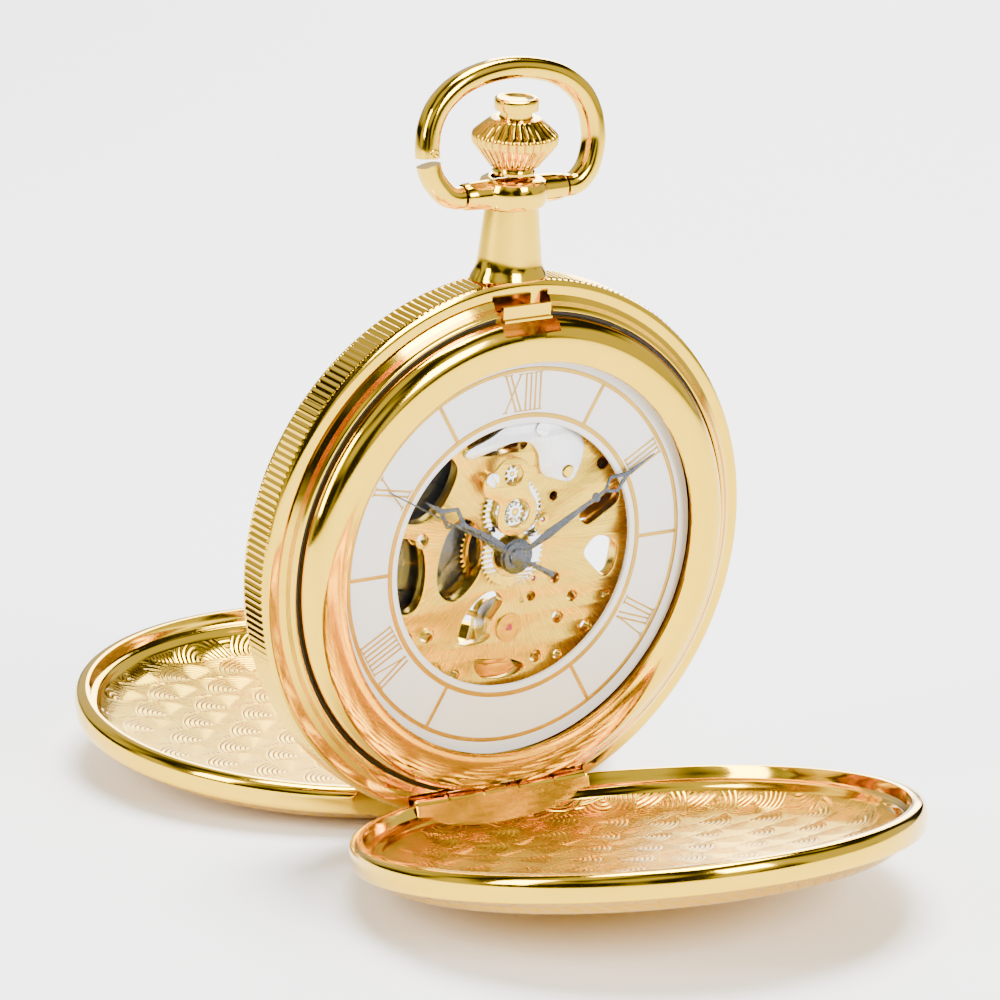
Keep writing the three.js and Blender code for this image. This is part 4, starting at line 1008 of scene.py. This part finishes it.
bridgeOutline = [
    (-1.5, 8.9), (-0.2, 9.1), (1.0, 8.4), (1.15, 6.9), (1.35, 5.9), (2.1, 4.6), (2.05, 3.2),
    (1.3, 2.2), (-0.1, 1.75), (-1.4, 2.3), (-1.95, 3.4), (-1.8, 4.9), (-2.6, 5.5), (-3.4, 6.0),
    (-3.5, 7.4), (-2.5, 8.0),
]
keyhole = circle(0.98, *settingAt, 36)
eye = circle(1.3, *minuteAt, 44)
bridgeHoles = [keyhole, eye, circle(0.34, *minuteScrewAt, 24)]
bridgePost = sleeve(minuteScrewAt, 0.32, 0.62, -2.88, -1.93)
bridgePath = rounded(bridgeOutline, 8)
bridge = flat(
    "minute_bridge_bevelled", bridgePath, -3.12, -2.86, bridgeGold, bridgeHoles, 0.07, [bridgePost],
)
settle(bridge, "case", "movement_gold", "minute_work_bridge")


def screwParts(at, radius, front, back, slotDegrees, shank, shankEnd):
    # a slotted head made of two halves either side of the slot
    out = -1 if front < back else 1
    parts = []
    for half in (0, 180):
        arc = [around((0, 0), radius, math.radians(a)) for a in range(10, 171, 5)]
        arc = [(x, max(z, 0.1)) for x, z in arc]
        path = shifted(turnPath(arc, slotDegrees + half), at)
        parts.append(flatData(path, [], min(front, back), max(front, back), 0.035))
    floorFront = front - out * 0.09
    parts.append(
        flatData(circle(radius * 0.93, *at), [], min(floorFront, back), max(floorFront, back), 0.01)
    )
    parts.append(pin(at, shank, min(back, shankEnd), max(back, shankEnd), 0.02))
    return parts


minuteScrew = screwParts(minuteScrewAt, 0.68, -3.3, -3.13, 60, 0.28, -1.4)
piece("minute_bridge_screw_slotted", minuteScrew, steel, "case", "steel", "minute_bridge_screw")
leverOutline = [
    (-4.9, 10.0), (-2.6, 10.9), (-0.6, 11.9), (2.2, 12.3), (5.0, 11.6), (7.2, 9.6), (7.2, 7.6),
    (6.2, 5.9), (4.6, 6.2), (3.0, 7.0), (2.5, 8.9), (1.5, 10.0), (-0.2, 10.2), (-2.6, 9.6),
    (-4.6, 9.2),
]
leverHoles = [circle(0.58, *leverPivot), circle(0.3, *leverScrewAt, 20)]
lever = flat("setting_lever_bevelled", rounded(leverOutline, 8), -2.3, -1.93, satinSteel, leverHoles, 0.07)
settle(lever, "case", "steel", "setting_lever_spring")
leverScrew = screwParts(leverScrewAt, 0.75, -2.5, -2.31, 20, 0.27, -1.95)
piece("setting_screw_slotted", leverScrew, steel, "case", "steel", "setting_spring_screw")

shockParts = [
    sleeve(balanceAt, 0.34, 1.32, -2.05, -1.92, 0.04),
    sleeve(balanceAt, 1.0, 1.32, -2.12, -1.92, 0.05),
    sleeve(balanceAt, 0.34, 0.8, -2.0, -0.75),
]
piece("shock_block", shockParts, wheelGold, "case", "movement_gold", "shock_setting")
lyre = [
    (0.16, 0.2), (0.3, 0.62), (0.62, 0.86), (0.86, 0.5), (0.74, 0.42), (0.56, 0.68), (0.42, 0.54),
    (0.3, 0.12),
]
lyreParts = []
for k in range(3):
    arm = shifted(turnPath(lyre, 120 * k + 15), balanceAt)
    lyreParts.append(flatData(arm, [], -2.11, -2.05, 0.015))
piece("shock_spring", lyreParts, wheelGold, "case", "movement_gold")
piece("shock_jewel", [pin(balanceAt, 0.4, -2.04, -1.9)], ruby, "case", "movement_gold")


def gear(teeth, module, turn, at, y0, y1, holes=(), bevel=0.02):
    return flatData(toothed(teeth, module, turn, at), list(holes), y0, y1, bevel)


def wheel(name, nodes, body, material, slot, *parts):
    piece(name, parts, material, body, slot, *nodes, sharp=28)


minuteModule = 2 * span((0, 0), minuteAt) / 48
hourModule = 2 * span((0, 0), minuteAt) / 50
minuteFacing = angleTo((0, 0), minuteAt)
minuteBack = angleTo(minuteAt, (0, 0))
settingBack = angleTo(settingAt, minuteAt)
toothOffset = math.fmod((angleTo(minuteAt, settingAt) - minuteBack - math.pi / 36) / (2 * math.pi / 36), 1)
settingTurn = settingBack - toothOffset * 2 * math.pi / 8 + math.pi / 8

hourGear = gear(40, hourModule, minuteFacing, (0, 0), -2.72, -2.52, [circle(0.85, steps=40)])
wheel(
    "hour_wheel_toothed", ["hour_wheel"], "hours", steel, "steel", hourGear,
    sleeve((0, 0), 0.8, 1.14, -3.53, -2.6),
)
piece(
    "hour_wheel_collar", [sleeve((0, 0), 1.15, 2.1, -2.8, -2.7, 0.06)], wheelGold, "hours",
    "movement_gold",
)
cannonGear = gear(12, minuteModule, minuteFacing, (0, 0), -2.3, -2.02, [circle(0.45)])
cannonSleeve = sleeve((0, 0), 0.42, 0.74, -3.76, -2.2)
wheel("cannon_pinion_toothed", ["cannon_pinion"], "minutes", steel, "steel", cannonGear, cannonSleeve)
minuteHole = circle(0.33, *minuteAt)
minuteGear = gear(36, minuteModule, minuteBack + math.pi / 36, minuteAt, -2.28, -2.08, [minuteHole])
minutePinion = gear(10, hourModule, minuteBack + math.pi / 10, minuteAt, -2.75, -2.25, [minuteHole])
wheel("minute_wheel_toothed", ["minute_wheel"], "minute_work", steel, "steel", minuteGear, minutePinion)
settingGear = gear(8, minuteModule, settingTurn, settingAt, -2.75, -2.08, [circle(0.23, *settingAt, 20)])
wheel("setting_wheel_toothed", ["setting_wheel"], "setting", steel, "steel", settingGear)

# going train

centreModule = 2 * span((0, 0), thirdAt) / 54
barrelModule = 2 * span((0, 0), barrelAt) / 72
fourthModule = 2 * span((0, 0), thirdAt) / 51
escapeModule = 2 * span((0, 0), escapeAt) / 66
toThird = angleTo((0, 0), thirdAt)
toBarrel = angleTo((0, 0), barrelAt)
toEscape = angleTo((0, 0), escapeAt)
thirdBack = angleTo(thirdAt, (0, 0))
centreGear = gear(48, centreModule, toThird, (0, 0), -0.5, -0.3, spokes(3, 1.45, 3.2, 0.5))
centrePipes = [sleeve((0, 0), 0.23, 0.42, -3.2, 0.0), sleeve((0, 0), 0.3, 0.47, -1.95, 0.0)]
wheel(
    "centre_wheel_toothed", ["center_wheel"], "minutes", wheelGold, "movement_gold", centreGear,
    *centrePipes,
)
centrePinion = gear(8, barrelModule, toBarrel + math.pi / 8, (0, 0), -0.32, 0.58, [circle(0.23, steps=20)])
wheel("centre_pinion", [], "minutes", steel, "steel", centrePinion)
thirdGear = gear(45, fourthModule, thirdBack, thirdAt, 0.72, 0.9, spokes(3, 0.9, 3.1, 0.45, thirdAt))
wheel("third_wheel_toothed", ["third_wheel"], "third", wheelGold, "movement_gold", thirdGear)
thirdPinion = gear(6, centreModule, thirdBack + math.pi / 6, thirdAt, -0.58, -0.2)
thirdPins = [pin(thirdAt, 0.27, -0.6, 1.2), pin(thirdAt, 0.14, -1.85, 2.2, 0.03)]
wheel("third_pinion", [], "third", steel, "steel", thirdPinion, *thirdPins)
fourthGear = gear(60, escapeModule, toEscape, (0, 0), 1.12, 1.28, spokes(3, 0.8, 3.1, 0.4))
wheel("fourth_wheel_toothed", ["fourth_wheel"], "seconds", wheelGold, "movement_gold", fourthGear)
fourthPinion = gear(6, fourthModule, toThird + math.pi / 6, (0, 0), 0.66, 1.13)
wheel("fourth_pinion", [], "seconds", steel, "steel", fourthPinion, pin((0, 0), 0.17, -3.9, 2.2, 0.03))

escapePath = []
for i in range(15):
    turn = palletTurn + (i + 0.5) / 15 * 2 * math.pi
    for radius, shift in ((1.35, -0.13), (1.8, -0.02), (1.8, 0.02), (1.35, 0.06)):
        escapePath.append(around(escapeAt, radius, turn + shift))
escapeParts = [flatData(escapePath, spokes(3, 0.45, 1.1, 0.2, escapeAt), 0.2, 0.34, 0.015)]
escapeParts += [pin(escapeAt, 0.2, 0.1, 1.4), pin(escapeAt, 0.13, -1.85, 2.2, 0.03)]
escapeParts.append(gear(6, escapeModule, angleTo(escapeAt, (0, 0)) + math.pi / 6, escapeAt, 1.02, 1.38))
wheel("escape_wheel_fine", ["escape_wheel"], "escape", steel, "steel", *escapeParts)
cadLook(cadSteel, "pallet_fork", bevel=0.02)

balanceParts = [sleeve(balanceAt, 3.85, 4.35, 0.55, 0.95, 0.08, 120)]
halfArm = [(-3.95, -0.26), (-0.6, -0.3), (-0.5, -0.5), (0.5, -0.5), (0.6, -0.3), (3.95, -0.26)]
balanceArm = halfArm + [(-x, -z) for x, z in halfArm]
balanceParts.append(flatData(shifted(turnPath(balanceArm, 20), balanceAt), [], 0.66, 0.84, 0.03))
balanceParts += [
    pin(balanceAt, 0.42, 0.16, 0.4), pin(balanceAt, 0.2, -0.6, 1.2),
    pin(balanceAt, 0.14, -1.6, 2.1, 0.03),
]
for i in range(10):
    turn = math.radians(36 * i + 12)
    balanceParts.append(pin(around(balanceAt, 4.4, turn), 0.15, 0.66, 0.86, 0.03, 16))
wheel("balance_wheel_rim", ["balance_wheel"], "balance", wheelGold, "movement_gold", *balanceParts)


def spiral(at, start, end, turns, half, y0, y1, first, steps):
    path = []
    for side in (1, -1):
        run = range(steps + 1) if side == 1 else range(steps, -1, -1)
        for i in run:
            t = i / steps
            turn = first + t * turns * 2 * math.pi
            radius = start + t * (end - start) + side * half
            path.append(around(at, radius, turn))
    return flatData(path, [], y0, y1, 0.01)


hair = [
    spiral(balanceAt, 0.62, 2.57, 11, 0.028, -0.42, -0.1, 0.6, 900),
    sleeve(balanceAt, 0.23, 0.62, -0.42, -0.1),
]
piece("hairspring_coils", hair, steel, "case", "steel", "hairspring")

barrelGear = gear(
    64, barrelModule, angleTo(barrelAt, (0, 0)), barrelAt, 0.06, 0.3, [circle(0.62, *barrelAt)],
)
barrelShell = [
    sleeve(barrelAt, 0.62, 7.05, 0.0, 0.2, 0.1, 96), sleeve(barrelAt, 6.7, 7.1, 0.0, 1.05, 0.1, 96),
]
barrelShell.append(sleeve(barrelAt, 4.9, 5.3, 0.0, 0.12, 0.04, 80))
wheel("barrel_drum_toothed", ["barrel"], "barrel_drum", darkSteel, "blued_steel", barrelGear, *barrelShell)
coils = spiral(barrelAt, 3.6, 6.45, 9, 0.06, 0.38, 0.88, 0, 500)
piece("mainspring_coils", [coils], steel, "case", "steel", "mainspring")
cadLook(cadSteel, "barrel_arbor", bevel=0.03)
print("train ready")

# movement, back


def arcRun(radius, low, high, steps):
    turns = [math.radians(low + (high - low) * i / steps) for i in range(steps + 1)]
    return [around((0, 0), radius, turn) for turn in turns]


backBridge = {"radius": 18.1, "low": 1.5, "high": 2.3, "bevel": 0.12}
screwSpots = [(-5.5, 16.2), (-15.6, -6.4), (14.5, 8.2), (15.3, -5.6), (6.6, 15.9)]
ratchet = {"module": 0.26, "teeth": 30, "crownTeeth": 26, "toCrown": 57, "low": 2.36, "high": 2.66}
crownReach = (ratchet["teeth"] + ratchet["crownTeeth"]) / 2 * ratchet["module"]
crownWheelAt = around(barrelAt, crownReach, math.radians(ratchet["toCrown"]))


def posts(spots):
    return [sleeve(at, 0.44, 1.15, -0.65, 1.55) for at in spots]


barrelWindow = rounded(
    [(-14.6, 3.2), (-13.2, 7.6), (-9.8, 10.4), (-9.6, 8.2), (-12.0, 6.2), (-13.0, 3.0)], 8,
)
barrelHoles = [barrelWindow, circle(0.62, *barrelAt), circle(0.5, *crownWheelAt)]
barrelHoles += [circle(0.44, *at, 24) for at in screwSpots[:2]]

barrelOutline = [
    *arcRun(backBridge["radius"], 80, 214, 80),
    (-8.4, -5.4), (-4.6, -3.4), (-1.9, 0.6), (-1.5, 4.6), (0.6, 8.6),
]


def makeBridge(name, node, outline, holes, spots):
    low, high, bevel = backBridge["low"], backBridge["high"], backBridge["bevel"]
    bridgeObject = flat(name, outline, low, high, bridgeGold, holes, bevel, posts(spots))
    settle(bridgeObject, "case", "movement_gold", node)


makeBridge("barrel_bridge_bevelled", "barrel_bridge", barrelOutline, barrelHoles, screwSpots[:2])
trainWindow = rounded([(6.0, -2.4), (8.4, -5.0), (12.6, -6.0), (13.6, -1.0), (10.6, 0.6), (7.6, -0.2)], 8)
trainHoles = [trainWindow, circle(0.2, steps=20), circle(0.17, *thirdAt, 20), circle(0.17, *escapeAt, 20)]
trainHoles += [circle(0.44, *at, 24) for at in screwSpots[2:]]
trainOutline = [
    *arcRun(backBridge["radius"], -37, 77, 70),
    (1.3, 8.5), (-0.8, 4.4), (-1.3, 1.0), (-1.0, -1.6), (1.4, -4.6), (5.4, -6.0),
]
makeBridge("train_bridge_bevelled", "train_bridge", trainOutline, trainHoles, screwSpots[2:])
cockOutline = rounded(
    [
        (-4.6, -17.2), (0, -18.0), (4.4, -17.3), (4.2, -13.6), (2.6, -10.8), (1.9, -8.4),
        (1.6, -6.4), (0.5, -5.7), (-0.6, -6.4), (-1.0, -8.6), (-1.9, -11.0), (-4.2, -13.6),
    ],
    8,
)
cockScrewHole = circle(0.44, 0, -15.4, 24)
footOutline = [(-3.4, -16.9), (3.6, -16.9), (3.6, -13.4), (-3.4, -13.4)]
cockFoot = flatData(footOutline, [cockScrewHole], -0.65, 1.7, 0.05)
cockHoles = [circle(0.17, *balanceAt, 20), cockScrewHole]
cock = flat("balance_cock_bevelled", cockOutline, 1.6, 2.3, bridgeGold, cockHoles, 0.12, [cockFoot])
settle(cock, "case", "movement_gold", "balance_cock")


def backSetting(at, inner, outer):
    # a ring standing proud of the bridge
    verts, faces = sleeve(at, inner, outer, -2.44, -2.28, 0.05)
    return [(x, -y, z) for x, y, z in verts], faces


jewelSpots = ((0, 0), thirdAt, escapeAt, balanceAt)
backJewels = [backSetting(at, 0.17, 0.5) for at in jewelSpots]
piece("train_jewels_back", backJewels, ruby, "case", "movement_gold")
backRings = [backSetting(at, 0.52, 0.78) for at in jewelSpots]
piece("jewel_settings_back", backRings, wheelGold, "case", "movement_gold")


def squareHole(half, at):
    return [(at[0] + a * half, at[1] + b * half) for a, b in ((-1, -1), (1, -1), (1, 1), (-1, 1))]


def windingGear(teeth, turn, at, hole):
    return gear(teeth, ratchet["module"], turn, at, ratchet["low"], ratchet["high"], [hole], 0.04)


ratchetGear = windingGear(
    ratchet["teeth"], angleTo(barrelAt, crownWheelAt), barrelAt, squareHole(0.45, barrelAt),
)
wheel("ratchet_wheel_toothed", ["ratchet_wheel"], "ratchet", sunSteel, "steel", ratchetGear)
ratchetScrew = screwParts(barrelAt, 0.95, 2.94, 2.78, 35, 0.24, 1.7)
piece("ratchet_screw_slotted", ratchetScrew, steel, "ratchet", "steel", "ratchet_screw")
crownBack = angleTo(crownWheelAt, barrelAt) + math.pi / ratchet["crownTeeth"]
crownGear = windingGear(ratchet["crownTeeth"], crownBack, crownWheelAt, circle(0.5, *crownWheelAt))
wheel("crown_wheel_toothed", ["crown_wheel"], "crown_gear", sunSteel, "steel", crownGear)
crownScrew = screwParts(crownWheelAt, 1.1, 2.9, 2.7, 80, 0.46, 1.55)
piece("crown_wheel_screw_slotted", crownScrew, steel, "case", "steel", "crown_wheel_screw")
for i, at in enumerate(screwSpots[:4], 1):
    bridgeScrew = screwParts(at, 0.85, 2.52, 2.32, 30 * at[0], 0.4, 0.75)
    piece("bridge_screw_slotted_%d" % i, bridgeScrew, steel, "case", "steel", "bridge_screw_%d" % i)
cadLook(cadSteel, "click", bevel=0.05)
print("movement ready")

# floor, lights and camera

floorNodes = Nodes("pale_floor")
floorTone = floorNodes.blendColors(floorNodes.noise(20.0), (0.93, 0.93, 0.93), (0.92, 0.92, 0.92))
floorNodes.link(floorTone, floorNodes.shader.inputs["Base Color"])
floorNodes.shader.inputs["Roughness"].default_value = 0.75
floorMesh = bpy.data.meshes.new("floor")
floorMesh.from_pydata([(-3, -3, 0), (3, -3, 0), (3, 3, 0), (-3, 3, 0)], [], [(0, 1, 2, 3)])
floorMesh.materials.append(floorNodes.mat)
floor = bpy.data.objects.new("floor", floorMesh)
bpy.context.collection.objects.link(floor)
floor.location.z = -0.0002


def areaLight(name, place, size, power, target=(0, 0, 0.03)):
    data = bpy.data.lights.new(name, "AREA")
    data.shape = "RECTANGLE"
    data.size, data.size_y = size
    data.energy = power
    light = bpy.data.objects.new(name, data)
    bpy.context.collection.objects.link(light)
    light.location = place
    light.rotation_euler = (Vector(target) - Vector(place)).to_track_quat("-Z", "Y").to_euler()


areaLight("top_light", (0.12, 0.1, 0.75), (0.4, 0.5), 20.0)
areaLight("left_light", (-0.75, -0.05, 0.4), (0.25, 0.5), 9.0)
areaLight("front_light", (0.15, -0.9, 0.5), (0.35, 0.4), 15.0)
areaLight("back_light", (0.5, 0.6, 0.3), (0.3, 0.5), 6.0)

world = bpy.context.scene.world or bpy.data.worlds.new("studio")
bpy.context.scene.world = world
world.use_nodes = True
background = world.node_tree.nodes["Background"]
sky = {"low": 0.02, "high": 0.95, "scale": 1.7, "from": 0.42, "to": 0.58}
skyPlace = world.node_tree.nodes.new("ShaderNodeTexCoord")
skyNoise = world.node_tree.nodes.new("ShaderNodeTexNoise")
skyNoise.inputs["Scale"].default_value = sky["scale"]
skyNoise.inputs["Detail"].default_value = 1.0
skyRange = world.node_tree.nodes.new("ShaderNodeMapRange")
skyRange.inputs["From Min"].default_value = sky["from"]
skyRange.inputs["From Max"].default_value = sky["to"]
skyRange.inputs["To Min"].default_value = sky["low"]
skyRange.inputs["To Max"].default_value = sky["high"]
world.node_tree.links.new(skyPlace.outputs["Generated"], skyNoise.inputs["Vector"])
world.node_tree.links.new(skyNoise.outputs["Fac"], skyRange.inputs["Value"])
world.node_tree.links.new(skyRange.outputs["Result"], background.inputs["Strength"])
background.inputs["Color"].default_value = (1, 1, 1, 1)

view = {
    "place": (-0.259445, -0.408648, 0.154704),
    "right": (0.84356, -0.53701, 0.00601),
    "up": (0.12905, 0.21355, 0.96837),
    "lens": 201.85,
}
cameraData = bpy.data.cameras.new("camera")
cameraData.lens = view["lens"]
cameraData.sensor_width = 36
camera = bpy.data.objects.new("camera", cameraData)
bpy.context.collection.objects.link(camera)
right, up = Vector(view["right"]).normalized(), Vector(view["up"]).normalized()
back = right.cross(up).normalized()
up = back.cross(right)
axes = Matrix((right, up, back)).transposed().to_4x4()
camera.matrix_world = Matrix.Translation(view["place"]) @ axes
bpy.context.scene.camera = camera
